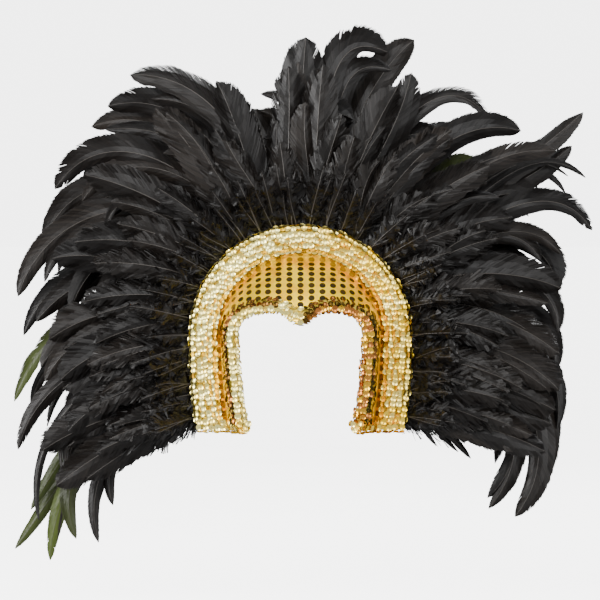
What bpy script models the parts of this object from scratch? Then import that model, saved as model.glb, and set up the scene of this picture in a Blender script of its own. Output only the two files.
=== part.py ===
"""Carnival feather headdress: a sequin-bound crown band with five strips of cock feathers behind it.

Metres, +Z up, the wearer looks along -Y and the wearer's left hand is at +X. The origin is where
the top of the wearer's head bears on the band, in the middle of the band's back line.
"""

import math
import random

import bmesh
import bpy
from mathutils import Vector

# Crown band: stiffened cloth from the face edge back over the head, ending in an upright flange
CROWN_RADIUS = 0.089        # head side of the band, along its back line
LEG_DROP = 0.098            # how far the legs reach below the middle of the arch
LEG_LEAN = 0.007            # how far each leg end leans in
BAND_WALL = 0.0025
BAND_BULGE_TOP = 0.009      # how far the band swells over a straight line from face to back, over the forehead
BAND_BULGE_LEG = 0.004      # the same, down the legs
BAND_DEPTH_TOP = 0.052      # from the back line forward to the face edge, over the forehead
BAND_DEPTH_LEG = 0.046      # the same, down the legs
FLANGE_WIDTH = 0.034        # how far the flange stands up from the back line

# Face edge of the band, seen from the front
FACE_HALF_WIDTH = 0.078     # at the temples
FACE_RISE = 0.036           # from the arch's middle up to the brow
FACE_SQUARENESS = 3.0       # 2 is an ellipse, more is squarer
FACE_LEG_LEAN = 0.010       # how far the face edge leans in at the leg ends
PEAK_DROP = 0.014           # the widow's peak below the brow
PEAK_HALF_WIDTH = 0.018

# Sequin trims, as padded ribbons
FIT_GAP = 0.0003            # between pieces that touch
BACK_TRIM_WIDTH = 0.030
BACK_TRIM_PUFF = 0.011      # how far it stands forward of the flange
TRIM_OVERHANG = 0.003       # how far the back trim reaches past the flange's edge
FACE_TRIM_REACH = 0.009     # past the face edge
FACE_TRIM_GRIP = 0.010      # over the band, each side
FACE_TRIM_PUFF = 0.0065     # thickness on each side of the band
LEG_TRIM_HEIGHT = 0.011

# Feather strips: cock feathers sewn on tapes that lie behind the flange
TAPE_WIDTH = 0.012
TAPE_WALL = 0.003
TAPE_INSET = 0.010          # from the flange's edge in to the tape's outer edge
QUILL_WIDTH = 0.004
BLADE_WIDTH = 0.032         # the unit of the tables' width column
BLADE_THICKNESS = 0.0020    # at the shaft
FAN_REACH = 0.400           # the unit of the tables' reach column, from the arch's middle

# How the strips part from each other, front to back
SUBLAYERS = 5               # feathers of a strip that cross lie on different ones
SUBLAYER_PITCH = 0.0027
BARE_QUILL = 0.014          # from the tape, past the back trim, to where the feathers begin to part
LEAN_RUN = 0.044            # and how much further it takes
SPREAD_GROWTH = 1.3         # how much wider the fan has become at its full reach
BACK_CURL = 0.040           # how far the tips curl to the back at full reach
FRONT_LAYERS = 1.7          # how many layers lean forward of the flange

BAND_STATIONS = 42
BAND_SHARES = (0, 0.25, 0.5, 0.75, 1)
BLADE_SECTIONS = 7          # of the tails, and one less for each shorter kind

# root: place along the arch, -1 at the right hand's leg end, 0 at the top, 1 at the left hand's
# lean: degrees clockwise, seen from the front, from straight out at the root
# bearing, reach: where the tip is, round the arch's middle and from it
# finish: which way the tip points, in degrees clockwise from straight up
# width: of the vane
COLUMNS = ("root", "lean", "bearing", "reach", "finish", "width")
BACK_TAILS = (
    (-0.97, -6, -125, 0.54, -115, 0.75),
    (-0.86, 0, -132, 0.99, -176, 0.70),
    (-0.78, 0, -127, 1.05, -143, 0.60),
    (-0.71, 0, -123, 0.94, -150, 0.60),
    (-0.60, 6, -106, 0.82, -178, 0.50),
    (-0.50, 12, -103, 0.86, -163, 0.75),
    (-0.40, 14, -90, 0.81, -160, 0.75),
    (-0.25, 12, -70, 0.80, -160, 1.00),
    (-0.18, 6, -45, 0.86, -112, 1.00),
    (-0.07, 2, -12, 0.67, -22, 1.20),
    (-0.03, 2, -9, 0.71, -88, 0.65),
    (0.09, 0, 21, 0.92, 50, 1.25),
    (0.20, 4, 38, 0.76, 92, 0.90),
    (0.30, 8, 52, 1.05, 48, 0.95),
    (0.36, -2, 62, 0.88, 150, 0.40),
    (0.42, -14, 62, 0.79, 135, 1.00),
    (0.55, -18, 110, 0.80, -170, 0.80),
    (0.62, -18, 117, 0.82, -165, 0.80),
    (0.69, -16, 122, 0.83, -155, 0.85),
    (0.82, 0, 111, 0.61, 140, 0.75),
    (0.93, 6, 126, 0.61, 140, 0.30),
)
MIDDLE_TAILS = (
    (-0.92, -2, -118, 0.62, -125, 0.80),
    (-0.82, 0, -121, 0.79, 178, 0.65),
    (-0.64, 4, -112, 0.89, -165, 0.70),
    (-0.53, 10, -97, 0.76, -150, 0.85),
    (-0.43, 14, -87, 0.77, -142, 0.90),
    (-0.31, 20, -82, 0.83, -163, 0.95),
    (-0.23, 10, -54, 0.78, -140, 0.90),
    (-0.14, 4, -40, 0.87, -105, 1.10),
    (-0.07, 4, -10, 0.66, -78, 0.70),
    (0.03, 0, 11, 0.90, 62, 0.50),
    (0.15, -8, 42, 0.83, 148, 0.85),
    (0.26, 4, 49, 0.72, 118, 0.90),
    (0.36, 4, 61, 0.95, 130, 0.35),
    (0.43, -24, 80, 0.76, 172, 1.05),
    (0.53, -18, 98, 0.75, -175, 0.90),
    (0.65, -14, 130, 0.82, -142, 1.00),
    (0.85, 4, 112, 0.62, 115, 0.90),
    (0.97, 8, 122, 0.50, 105, 0.80),
)
FRONT_TAILS = (
    (-0.95, -4, -121, 0.58, -118, 0.70),
    (-0.88, -2, -132, 0.88, 158, 0.70),
    (-0.75, 0, -116, 0.70, -150, 0.80),
    (-0.69, 6, -125, 0.93, 170, 0.35),
    (-0.63, 4, -109, 0.72, -150, 1.00),
    (-0.56, 10, -100, 0.75, -155, 0.85),
    (-0.47, 12, -92, 0.66, -140, 0.90),
    (-0.37, 16, -78, 0.76, -168, 0.70),
    (-0.30, 12, -63, 0.63, 178, 0.40),
    (-0.21, 8, -59, 0.83, -147, 1.05),
    (-0.09, 2, -33, 0.90, -92, 1.20),
    (0.00, 0, 1, 0.86, 5, 1.60),
    (0.06, 0, 17, 0.86, 115, 1.15),
    (0.13, 2, 23, 0.82, 12, 1.15),
    (0.21, 2, 47, 0.87, 105, 1.05),
    (0.28, 6, 54, 0.91, 95, 0.90),
    (0.38, 0, 70, 0.90, 147, 0.90),
    (0.48, -14, 89, 0.75, 178, 0.90),
    (0.59, -14, 120, 0.65, -128, 0.45),
    (0.76, -2, 106, 0.69, 130, 0.90),
    (0.89, 4, 117, 0.58, 110, 0.80),
)

# The shorter strips follow a rule: how many, how long (a share of the fan's reach), how wide, how much
# each may differ, and how far the tips of the feathers at the sides droop, in degrees
RULE_COLUMNS = ("count", "length", "width", "jitter", "droop")
LONG_SADDLES = (26, 0.46, 1.20, 0.12, 46)
SADDLES = (28, 0.32, 0.95, 0.16, 30)
HACKLES = (36, 0.19, 0.58, 0.18, 14)
JITTER_SEED = 11
JITTER_TURN = 8             # degrees
RIGHT_SAG = 12              # degrees below level at the leg end, right hand's side
LEFT_SAG = 2                # the same, left hand's side

ARCH_SHARE = math.pi / 2 * CROWN_RADIUS / (math.pi / 2 * CROWN_RADIUS + LEG_DROP)
ARCH_Z = -CROWN_RADIUS
ROOT_OFFSET = FLANGE_WIDTH - TAPE_INSET
LAYER_PITCH = SUBLAYERS * SUBLAYER_PITCH


def smoothstep(value):
    """0 below 0, 1 above 1, and a smooth rise between."""
    share = min(1.0, max(0.0, value))
    return share * share * (3 - 2 * share)


def compass(degrees):
    """Unit vector in the front view, clockwise from straight up."""
    angle = math.radians(degrees)
    return Vector((math.sin(angle), math.cos(angle)))


def arch_point(station, offset):
    """(x, z) on the line that runs offset outside the band's back line, and which way is out, in degrees."""
    side = 1 if station >= 0 else -1
    share = abs(station) / ARCH_SHARE
    radius = CROWN_RADIUS + offset
    if share <= 1:
        way_out = side * 90 * share
        return Vector((0, ARCH_Z)) + radius * compass(way_out), way_out
    down = (abs(station) - ARCH_SHARE) / (1 - ARCH_SHARE)
    return Vector((side * (radius - LEG_LEAN * down ** 2), ARCH_Z - LEG_DROP * down)), side * 90


def crown_blend(station, at_top, at_leg):
    """A size of the band at a station, from its value over the forehead to its value down the legs."""
    share = min(1.0, abs(station) / ARCH_SHARE)
    return at_leg + (at_top - at_leg) * max(0.0, math.cos(math.pi / 2 * share)) ** 0.8


def face_point(station):
    """The face edge of the band, head side, at a station of the arch."""
    side = 1 if station >= 0 else -1
    share = abs(station) / ARCH_SHARE
    if share <= 1:
        angle = math.radians(90 * share)
        across = math.sin(angle) / FACE_HALF_WIDTH
        upward = math.cos(angle) / FACE_RISE
        radius = (across ** FACE_SQUARENESS + upward ** FACE_SQUARENESS) ** (-1 / FACE_SQUARENESS)
        x = side * radius * math.sin(angle)
        z = ARCH_Z + radius * math.cos(angle) - PEAK_DROP * math.exp(-(x / PEAK_HALF_WIDTH) ** 2)
    else:
        down = (abs(station) - ARCH_SHARE) / (1 - ARCH_SHARE)
        x = side * (FACE_HALF_WIDTH - FACE_LEG_LEAN * down ** 1.6)
        z = ARCH_Z - LEG_DROP * down
    return Vector((x, -crown_blend(station, BAND_DEPTH_TOP, BAND_DEPTH_LEG), z))


def band_frame(station):
    """Face point, back point, unit chord between them and the unit normal away from the head."""
    face = face_point(station)
    (x, z), way_out = arch_point(station, 0)
    back = Vector((x, 0, z))
    tangent = compass(way_out + 90)
    chord = (back - face).normalized()
    normal = Vector((tangent.x, 0, tangent.y)).cross(chord).normalized()
    return face, back, chord, normal


def band_surface(station, distance, lift):
    """A point of the band, so far behind its face edge and lift metres off the head side."""
    face, back, chord, normal = band_frame(station)
    share = distance / (back - face).length
    bulge = crown_blend(station, BAND_BULGE_TOP, BAND_BULGE_LEG) * 4 * share * (1 - share) if share > 0 else 0
    return face + distance * chord + (bulge + lift) * normal


def band_section(station):
    """The band's closed outline at a station: head side, flange, outer side."""
    face, back, _, normal = band_frame(station)
    length = (back - face).length
    places = [0, FACE_TRIM_GRIP] + [length * share for share in BAND_SHARES[1:-1]]
    outer_end = length * (1 - BAND_WALL * (1 + normal.y) / abs(face.y))
    inner = [band_surface(station, place, 0) for place in places + [length]]
    outer = [band_surface(station, place, BAND_WALL) for place in places + [outer_end]]
    edge, _ = arch_point(station, FLANGE_WIDTH)
    flange = [Vector((edge.x, y, edge.y)) for y in (0, -BAND_WALL)]
    return inner + flange + outer[::-1]


def trim_on_flange(station):
    """The back trim's outline at a station: a padded ribbon with its flat side against the flange."""
    back = -BAND_WALL - FIT_GAP
    outside = FLANGE_WIDTH + TRIM_OVERHANG
    outline = []
    for across, forward in ((0, 0), (0, 0.45), (0.18, 0.88), (0.45, 1), (0.75, 0.95), (0.95, 0.62), (1, 0)):
        point, _ = arch_point(station, outside - BACK_TRIM_WIDTH * (1 - across))
        outline.append(Vector((point.x, back - BACK_TRIM_PUFF * forward, point.y)))
    return outline


def trim_on_face_edge(station):
    """The face trim's outline at a station: a padded binding folded round the band's edge."""
    grip = FACE_TRIM_GRIP
    inside, outside = -FIT_GAP, BAND_WALL + FIT_GAP
    middle = BAND_WALL / 2
    slot = ((grip, outside), (-FIT_GAP, outside), (-FIT_GAP, inside), (grip, inside))
    puff = FACE_TRIM_PUFF
    round_side = (
        (grip * 0.6, -puff), (-FACE_TRIM_REACH * 0.45, -puff * 0.9), (-FACE_TRIM_REACH, middle),
        (-FACE_TRIM_REACH * 0.45, BAND_WALL + puff * 0.9), (grip * 0.6, BAND_WALL + puff),
    )
    return [band_surface(station, along, lift) for along, lift in slot + round_side]


def lean(distance, layer, sublayer):
    """How far back a point of the fan lies, from its distance to the tapes and its layer, front first."""
    tape = FIT_GAP + layer * (TAPE_WALL + FIT_GAP) + TAPE_WALL / 2
    ramp = min(1.0, max(0.0, (distance - BARE_QUILL) / LEAN_RUN))
    spread = 1 + SPREAD_GROWTH * max(0.0, distance) / FAN_REACH
    fanned = ((layer - FRONT_LAYERS) * LAYER_PITCH + sublayer * SUBLAYER_PITCH) * spread
    return tape + ramp * fanned + BACK_CURL * (max(0.0, distance) / FAN_REACH) ** 2


def distance_from_tapes(x, z):
    """How far a point of the front view is outside the line where the feathers leave their tapes."""
    radius = CROWN_RADIUS + ROOT_OFFSET
    if z >= ARCH_Z:
        return math.hypot(x, z - ARCH_Z) - radius
    down = min(1.0, (ARCH_Z - z) / LEG_DROP)
    beside = abs(x) - radius + LEG_LEAN * down ** 2
    below = max(0.0, ARCH_Z - LEG_DROP - z)
    return math.hypot(beside, below) if beside > 0 else below


def feather_line(feather, sections):
    """Points and headings of a feather's shaft in the front view, root to tip."""
    root, way_out = arch_point(feather["root"], ROOT_OFFSET)
    tip = Vector((0, ARCH_Z)) + feather["reach"] * FAN_REACH * compass(feather["bearing"])
    start = way_out + feather["lean"]
    turn = (feather["finish"] - start + 180) % 360 - 180
    handle = (tip - root).length / (3 * math.cos(math.radians(turn / 4)) ** 2)
    near = root + handle * compass(start)
    far = tip - handle * compass(feather["finish"])
    bare = BARE_QUILL / (3 * handle)
    parted = (BARE_QUILL + LEAN_RUN) / (3 * handle)
    shares = [bare]
    for i in range(sections - 1):
        shares.append(parted + (1 - parted) * (1 - (1 - i / (sections - 2)) ** 1.4))
    line = []
    for t in shares:
        a, b, c, d = (1 - t) ** 3, 3 * t * (1 - t) ** 2, 3 * t * t * (1 - t), t ** 3
        point = a * root + b * near + c * far + d * tip
        slope = (1 - t) ** 2 * (near - root) + 2 * t * (1 - t) * (far - near) + t * t * (tip - far)
        line.append((t, point, slope.normalized()))
    return line


def half_vane(feather, t):
    """Half width of a feather at a share of its length: bare quill, full vane, blunt tip."""
    if t < 0.36:
        share = 0.12 + 0.88 * smoothstep((t - 0.06) / 0.30)
    else:
        share = math.sqrt(max(0.0, 1 - ((t - 0.36) / 0.64) ** 3.4))
    return 0.5 * BLADE_WIDTH * feather["width"] * share


def settle(feathers):
    """Orders feathers along the arch and gives each a sublayer, so that near neighbours lie well apart."""
    feathers = sorted(feathers, key=lambda feather: feather["root"])
    for index, feather in enumerate(feathers):
        feather["sublayer"] = (2 * index) % SUBLAYERS
    return feathers


def table_feathers(rows):
    """The rows of a table as feathers."""
    return settle([dict(zip(COLUMNS, row)) for row in rows])


def rule_feathers(row, seed):
    """Feathers by rule, evenly set along the arch, each a little different."""
    rule = dict(zip(RULE_COLUMNS, row))
    pick = random.Random(seed)
    feathers = []
    for index in range(rule["count"]):
        station = -0.975 + 1.95 * index / (rule["count"] - 1)
        root, way_out = arch_point(station, ROOT_OFFSET)
        down = max(0.0, abs(station) - ARCH_SHARE) / (1 - ARCH_SHARE)
        sag = (LEFT_SAG if station > 0 else -RIGHT_SAG) * down
        droop = rule["droop"] * math.sin(math.radians(way_out)) * (1 - 0.5 * down)
        turn = JITTER_TURN * pick.uniform(-1, 1)
        length = rule["length"] * FAN_REACH * (1 + rule["jitter"] * pick.uniform(-1, 1))
        tip = root + length * compass(way_out + sag + 0.4 * droop + turn) - Vector((0, ARCH_Z))
        feathers.append({
            "root": station,
            "lean": 0.6 * sag,
            "bearing": math.degrees(math.atan2(tip.x, tip.y)),
            "reach": tip.length / FAN_REACH,
            "finish": way_out + sag + droop + turn,
            "width": rule["width"],
        })
    return settle(feathers)


def add_object(name, mesh_bm, colour, roughness, metallic):
    """Makes a named object of a bmesh, with its own material."""
    bmesh.ops.recalc_face_normals(mesh_bm, faces=mesh_bm.faces)
    mesh = bpy.data.meshes.new(name)
    mesh_bm.to_mesh(mesh)
    mesh_bm.free()
    mesh.shade_smooth()
    mesh.set_sharp_from_angle(angle=math.radians(40))
    material = bpy.data.materials.new(name)
    material.use_nodes = True
    shader = material.node_tree.nodes["Principled BSDF"]
    shader.inputs["Base Color"].default_value = (*colour, 1)
    shader.inputs["Roughness"].default_value = roughness
    shader.inputs["Metallic"].default_value = metallic
    mesh.materials.append(material)
    obj = bpy.data.objects.new(name, mesh)
    bpy.context.scene.collection.objects.link(obj)
    return obj


def sweep(outlines):
    """A closed solid through outlines with the same number of points, with flat ends."""
    solid = bmesh.new()
    rings = [[solid.verts.new(point) for point in outline] for outline in outlines]
    count = len(rings[0])
    for ring, following in zip(rings, rings[1:]):
        for i in range(count):
            j = (i + 1) % count
            solid.faces.new((ring[i], ring[j], following[j]))
            solid.faces.new((ring[i], following[j], following[i]))
    caps = [solid.faces.new(rings[0][::-1]), solid.faces.new(rings[-1])]
    for cap in caps:
        cap.normal_update()
    bmesh.ops.triangulate(solid, faces=caps)
    return solid


def stations(count):
    """Evenly spaced stations along the arch, end to end."""
    return [2 * i / count - 1 for i in range(count + 1)]


def leg_trim(side):
    """The trim that closes one leg end: a padded bar below the band, from face edge to flange edge."""
    face, back, chord, _ = band_frame(side)
    edge, _ = arch_point(side, FLANGE_WIDTH)
    forward = -BAND_WALL - BACK_TRIM_PUFF / 2
    corner = back + Vector((side * BAND_WALL, forward, 0))
    tip = Vector((edge.x, forward, corner.z))
    path = (face - FACE_TRIM_REACH * chord, face.lerp(corner, 0.5), corner, tip)
    outlines = []
    for i, point in enumerate(path):
        run = path[min(i + 1, len(path) - 1)] - path[max(i - 1, 0)]
        across = Vector((-run.y, run.x, 0)).normalized() * FACE_TRIM_PUFF
        top = point - Vector((0, 0, FIT_GAP))
        outlines.append([
            top + share * across - Vector((0, 0, drop * LEG_TRIM_HEIGHT))
            for share, drop in ((-1, 0), (-1, 0.5), (-0.5, 0.95), (0.5, 0.95), (1, 0.5), (1, 0))
        ])
    return sweep(outlines)


def feather_strip(feathers, layer, sections):
    """One strip: a tape along the arch with every feather grown out of its outer edge, as one body."""
    arch_length = math.pi * (CROWN_RADIUS + ROOT_OFFSET) + 2 * LEG_DROP
    half_quill = QUILL_WIDTH / arch_length
    marks = [(-1.0, None)]
    for feather in feathers:
        marks.append((max(-0.999, feather["root"] - half_quill), feather))
        marks.append((min(0.999, feather["root"] + half_quill), None))
    marks.append((1.0, None))
    front = FIT_GAP + layer * (TAPE_WALL + FIT_GAP)
    solid = bmesh.new()
    rings = []
    for station, _ in marks:
        inner, _ = arch_point(station, ROOT_OFFSET - TAPE_WIDTH)
        outer, _ = arch_point(station, ROOT_OFFSET)
        corners = ((inner, front), (outer, front), (outer, front + TAPE_WALL), (inner, front + TAPE_WALL))
        rings.append([solid.verts.new((point.x, y, point.y)) for point, y in corners])
    solid.faces.new(rings[0])
    solid.faces.new(rings[-1][::-1])
    for (_, feather), ring, following in zip(marks, rings, rings[1:]):
        for i in (0, 2, 3):
            j = (i + 1) % 4
            solid.faces.new((ring[i], ring[j], following[j], following[i]))
        root_loop = [ring[1], following[1], following[2], ring[2]]
        if feather is None:
            solid.faces.new(root_loop)
        else:
            grow_feather(solid, root_loop, feather, layer, sections)
    return solid


def grow_feather(solid, root_loop, feather, layer, sections):
    """Grows one feather out of a face of its tape: a blade with its shaft as a ridge on both sides."""
    loop = root_loop
    for t, point, heading in feather_line(feather, sections):
        if t == 1:
            break
        right = Vector((heading.y, -heading.x))
        half = half_vane(feather, t)
        ridge = BLADE_THICKNESS / 2 * (1 - 0.6 * t)
        places = ((point - half * right, 0), (point, -ridge), (point + half * right, 0), (point, ridge))
        following = []
        for place, lift in places:
            distance = distance_from_tapes(place.x, place.y)
            depth = lean(distance, layer, feather["sublayer"])
            following.append(solid.verts.new((place.x, depth + lift, place.y)))
        for i in range(4):
            j = (i + 1) % 4
            front = i < 2
            solid.faces.new((loop[i], loop[j], following[j] if front else following[i]))
            solid.faces.new((loop[i] if front else loop[j], following[j], following[i]))
        loop = following
    depth = lean(distance_from_tapes(point.x, point.y), layer, feather["sublayer"])
    tip = solid.verts.new((point.x, depth, point.y))
    for i in range(4):
        solid.faces.new((loop[i], loop[(i + 1) % 4], tip))


def main():
    for old in list(bpy.data.objects):
        bpy.data.objects.remove(old)

    gold, pale_gold, black = (0.62, 0.36, 0.05), (0.78, 0.62, 0.30), (0.012, 0.011, 0.010)
    along = stations(BAND_STATIONS)
    add_object("crown_band", sweep([band_section(s) for s in along]), gold, 0.35, 0.8)
    add_object("face_trim", sweep([trim_on_face_edge(s) for s in along]), pale_gold, 0.25, 1.0)
    add_object("back_trim", sweep([trim_on_flange(s) for s in along]), pale_gold, 0.25, 1.0)
    add_object("right_leg_trim", leg_trim(-1), pale_gold, 0.25, 1.0)
    add_object("left_leg_trim", leg_trim(1), pale_gold, 0.25, 1.0)

    strips = (
        ("hackle_strip", rule_feathers(HACKLES, JITTER_SEED), BLADE_SECTIONS - 3),
        ("saddle_strip", rule_feathers(SADDLES, JITTER_SEED + 1), BLADE_SECTIONS - 2),
        ("long_saddle_strip", rule_feathers(LONG_SADDLES, JITTER_SEED + 2), BLADE_SECTIONS - 1),
        ("front_tail_strip", table_feathers(FRONT_TAILS), BLADE_SECTIONS),
        ("middle_tail_strip", table_feathers(MIDDLE_TAILS), BLADE_SECTIONS),
        ("back_tail_strip", table_feathers(BACK_TAILS), BLADE_SECTIONS),
    )
    for layer, (name, feathers, sections) in enumerate(strips):
        add_object(name, feather_strip(feathers, layer, sections), black, 0.5, 0.0)


main()
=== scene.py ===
"""Carnival feather headdress, dressed for the render.

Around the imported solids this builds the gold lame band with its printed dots, the sequin trims, and
the fan of black cock feathers, barb by barb. Metres, +Z up, the wearer looks along -Y.
"""

import logging
import math
import random
from dataclasses import dataclass, field, replace
from enum import Enum
from typing import Callable, Iterable, Sequence

import bpy
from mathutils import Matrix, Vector


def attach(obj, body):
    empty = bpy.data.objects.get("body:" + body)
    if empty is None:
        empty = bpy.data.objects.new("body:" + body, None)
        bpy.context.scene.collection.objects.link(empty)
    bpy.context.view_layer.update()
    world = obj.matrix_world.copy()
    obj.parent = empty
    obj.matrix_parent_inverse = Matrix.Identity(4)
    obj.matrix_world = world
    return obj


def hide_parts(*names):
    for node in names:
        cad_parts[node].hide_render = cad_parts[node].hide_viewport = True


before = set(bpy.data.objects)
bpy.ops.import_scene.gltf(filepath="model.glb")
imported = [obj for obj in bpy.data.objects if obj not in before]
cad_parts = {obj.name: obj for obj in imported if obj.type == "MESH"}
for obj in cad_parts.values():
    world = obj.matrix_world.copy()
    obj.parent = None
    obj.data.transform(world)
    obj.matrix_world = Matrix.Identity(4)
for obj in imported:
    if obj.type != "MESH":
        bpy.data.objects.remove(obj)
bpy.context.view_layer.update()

log = logging.getLogger("headdress")

Colour = tuple[float, float, float, float]
Outline = list[Vector]
BODY = "root"
MM = 0.001


class Slot(Enum):
    """Material slots of the record."""

    LAME = "lame"
    SEQUINS = "sequins"
    FEATHERS = "feathers"


class Hand(Enum):
    """The wearer's hands, as the sign of X on that side."""

    RIGHT = -1
    LEFT = 1


class Layer(Enum):
    """The feather strips, front to back."""

    HACKLE = 0
    SADDLE = 1
    LONG_SADDLE = 2
    FRONT_TAIL = 3
    MIDDLE_TAIL = 4
    BACK_TAIL = 5


# Small tools


def linear(code: str) -> Colour:
    """Turns an sRGB hex colour to the linear values that shaders take.

    Args:
        code: a colour such as "#c8a040".

    Returns:
        Linear red, green, blue and a full alpha.
    """
    shares = (int(code[i:i + 2], 16) / 255 for i in (1, 3, 5))
    red, green, blue = (c / 12.92 if c <= 0.04045 else ((c + 0.055) / 1.055) ** 2.4 for c in shares)
    return red, green, blue, 1.0


def smoothstep(value: float) -> float:
    """0 below 0, 1 above 1, and a smooth rise between."""
    share = min(1.0, max(0.0, value))
    return share * share * (3 - 2 * share)


def compass(degrees: float) -> Vector:
    """Unit vector in the front view, clockwise from straight up."""
    angle = math.radians(degrees)
    return Vector((math.sin(angle), math.cos(angle)))


def add_node(tree: bpy.types.NodeTree, kind: str, inputs: dict | None = None, **settings: object) -> bpy.types.Node:
    """Adds a node with its settings and links.

    Args:
        tree: the node tree it goes in.
        kind: the node's type name.
        inputs: socket name or number to a value, a socket or a node, whose first live output is taken.
        settings: properties of the node.

    Returns:
        The new node.
    """
    node = tree.nodes.new(kind)
    for name, value in settings.items():
        setattr(node, name, value)
    for key, value in (inputs or {}).items():
        if isinstance(key, str):
            socket = next(s for s in node.inputs if s.name == key and s.enabled)
        else:
            socket = node.inputs[key]
        if isinstance(value, bpy.types.Node):
            value = next(s for s in value.outputs if s.enabled)
        if isinstance(value, bpy.types.NodeSocket):
            tree.links.new(value, socket)
        else:
            socket.default_value = value
    return node


def make_object(name: str, verts: Sequence[Vector], edges: Sequence, faces: Sequence) -> bpy.types.Object:
    """Makes an object at the origin from points, edges and faces.

    Args:
        name: the object's name.
        verts: its points, in the row frame.
        edges: pairs of point numbers.
        faces: tuples of point numbers.

    Returns:
        The linked object, smooth shaded.
    """
    mesh = bpy.data.meshes.new(name)
    mesh.from_pydata([tuple(v) for v in verts], edges, faces)
    mesh.shade_smooth()
    obj = bpy.data.objects.new(name, mesh)
    bpy.context.scene.collection.objects.link(obj)
    return obj


def set_attribute(mesh: bpy.types.Mesh, name: str, values: Sequence) -> None:
    """Stores one value a point: floats, or vectors where the first value is one.

    Args:
        mesh: the mesh it goes on.
        name: the attribute's name.
        values: one float or vector for each point.
    """
    if isinstance(values[0], Vector):
        layer = mesh.attributes.new(name, "FLOAT_VECTOR", "POINT")
        layer.data.foreach_set("vector", [c for v in values for c in v])
    else:
        layer = mesh.attributes.new(name, "FLOAT", "POINT")
        layer.data.foreach_set("value", values)


def grow(obj: bpy.types.Object, tree: bpy.types.NodeTree, values: dict[str, object]) -> bpy.types.Object:
    """Runs a Geometry Nodes tree on an object and keeps its result as the object's plain mesh.

    Args:
        obj: the object whose mesh guides the tree.
        tree: the Geometry Nodes tree.
        values: input name to value.

    Returns:
        The same object, with the grown mesh and no modifier.
    """
    modifier = obj.modifiers.new(tree.name, "NODES")
    modifier.node_group = tree
    for item in tree.interface.items_tree:
        if item.item_type == "SOCKET" and item.in_out == "INPUT" and item.name in values:
            modifier[item.identifier] = values[item.name]
    graph = bpy.context.evaluated_depsgraph_get()
    grown = bpy.data.meshes.new_from_object(obj.evaluated_get(graph), preserve_all_data_layers=True, depsgraph=graph)
    for slot in reversed(range(len(grown.materials))):
        if grown.materials[slot] is None:
            grown.materials.pop(index=slot)
    guide = obj.data
    obj.modifiers.remove(modifier)
    obj.data = grown
    bpy.data.meshes.remove(guide)
    grown.name = obj.name
    return obj


def settle(obj: bpy.types.Object, replaced: str | None = None) -> bpy.types.Object:
    """Hangs a finished piece on the part and reports it.

    Args:
        obj: the finished piece.
        replaced: the solid it stands for, if it stands for one.

    Returns:
        The same piece.
    """
    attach(obj, BODY)
    if replaced:
        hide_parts(replaced)
    obj.data.calc_loop_triangles()
    log.info("%s: %d triangles, replaces %s", obj.name, len(obj.data.loop_triangles), replaced or "nothing")
    return obj


def loft(name: str, outlines: Sequence[Outline], rows: Sequence[float]) -> bpy.types.Object:
    """Makes a closed skin through outlines, with flat ends and a UV map in metres.

    Args:
        name: the object's name.
        outlines: closed outlines with the same number of points each.
        rows: how far along the piece each outline lies, for the map's U.

    Returns:
        The linked object.
    """
    count = len(outlines[0])
    verts = [point for outline in outlines for point in outline]
    faces, uvs = [], []
    spans = [0.0]
    for i in range(count):
        middle = outlines[len(outlines) // 2]
        spans.append(spans[-1] + (middle[(i + 1) % count] - middle[i]).length)
    for r in range(len(outlines) - 1):
        for i in range(count):
            j = (i + 1) % count
            faces.append((r * count + i, r * count + j, (r + 1) * count + j, (r + 1) * count + i))
            uvs += [(rows[r], spans[i]), (rows[r], spans[i + 1]), (rows[r + 1], spans[i + 1]), (rows[r + 1], spans[i])]
    for ring, order in ((0, range(count - 1, -1, -1)), (len(outlines) - 1, range(count))):
        faces.append(tuple(ring * count + i for i in order))
        uvs += [(rows[ring], spans[i]) for i in order]
    obj = make_object(name, verts, [], faces)
    layer = obj.data.uv_layers.new(name="cloth")
    layer.data.foreach_set("uv", [c for uv in uvs for c in uv])
    return obj


# Finishes


@dataclass(frozen=True)
class Finish:
    """A material by its real name, painted by paint()."""

    name: str

    def paint(self, tree: bpy.types.NodeTree, shader: bpy.types.Node) -> None:
        """Sets the shader up; each finish has its own."""
        raise NotImplementedError

    def material(self) -> bpy.types.Material:
        """The Blender material, made once."""
        found = bpy.data.materials.get(self.name)
        if found:
            return found
        made = bpy.data.materials.new(self.name)
        made.use_nodes = True
        self.paint(made.node_tree, made.node_tree.nodes["Principled BSDF"])
        return made


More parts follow.
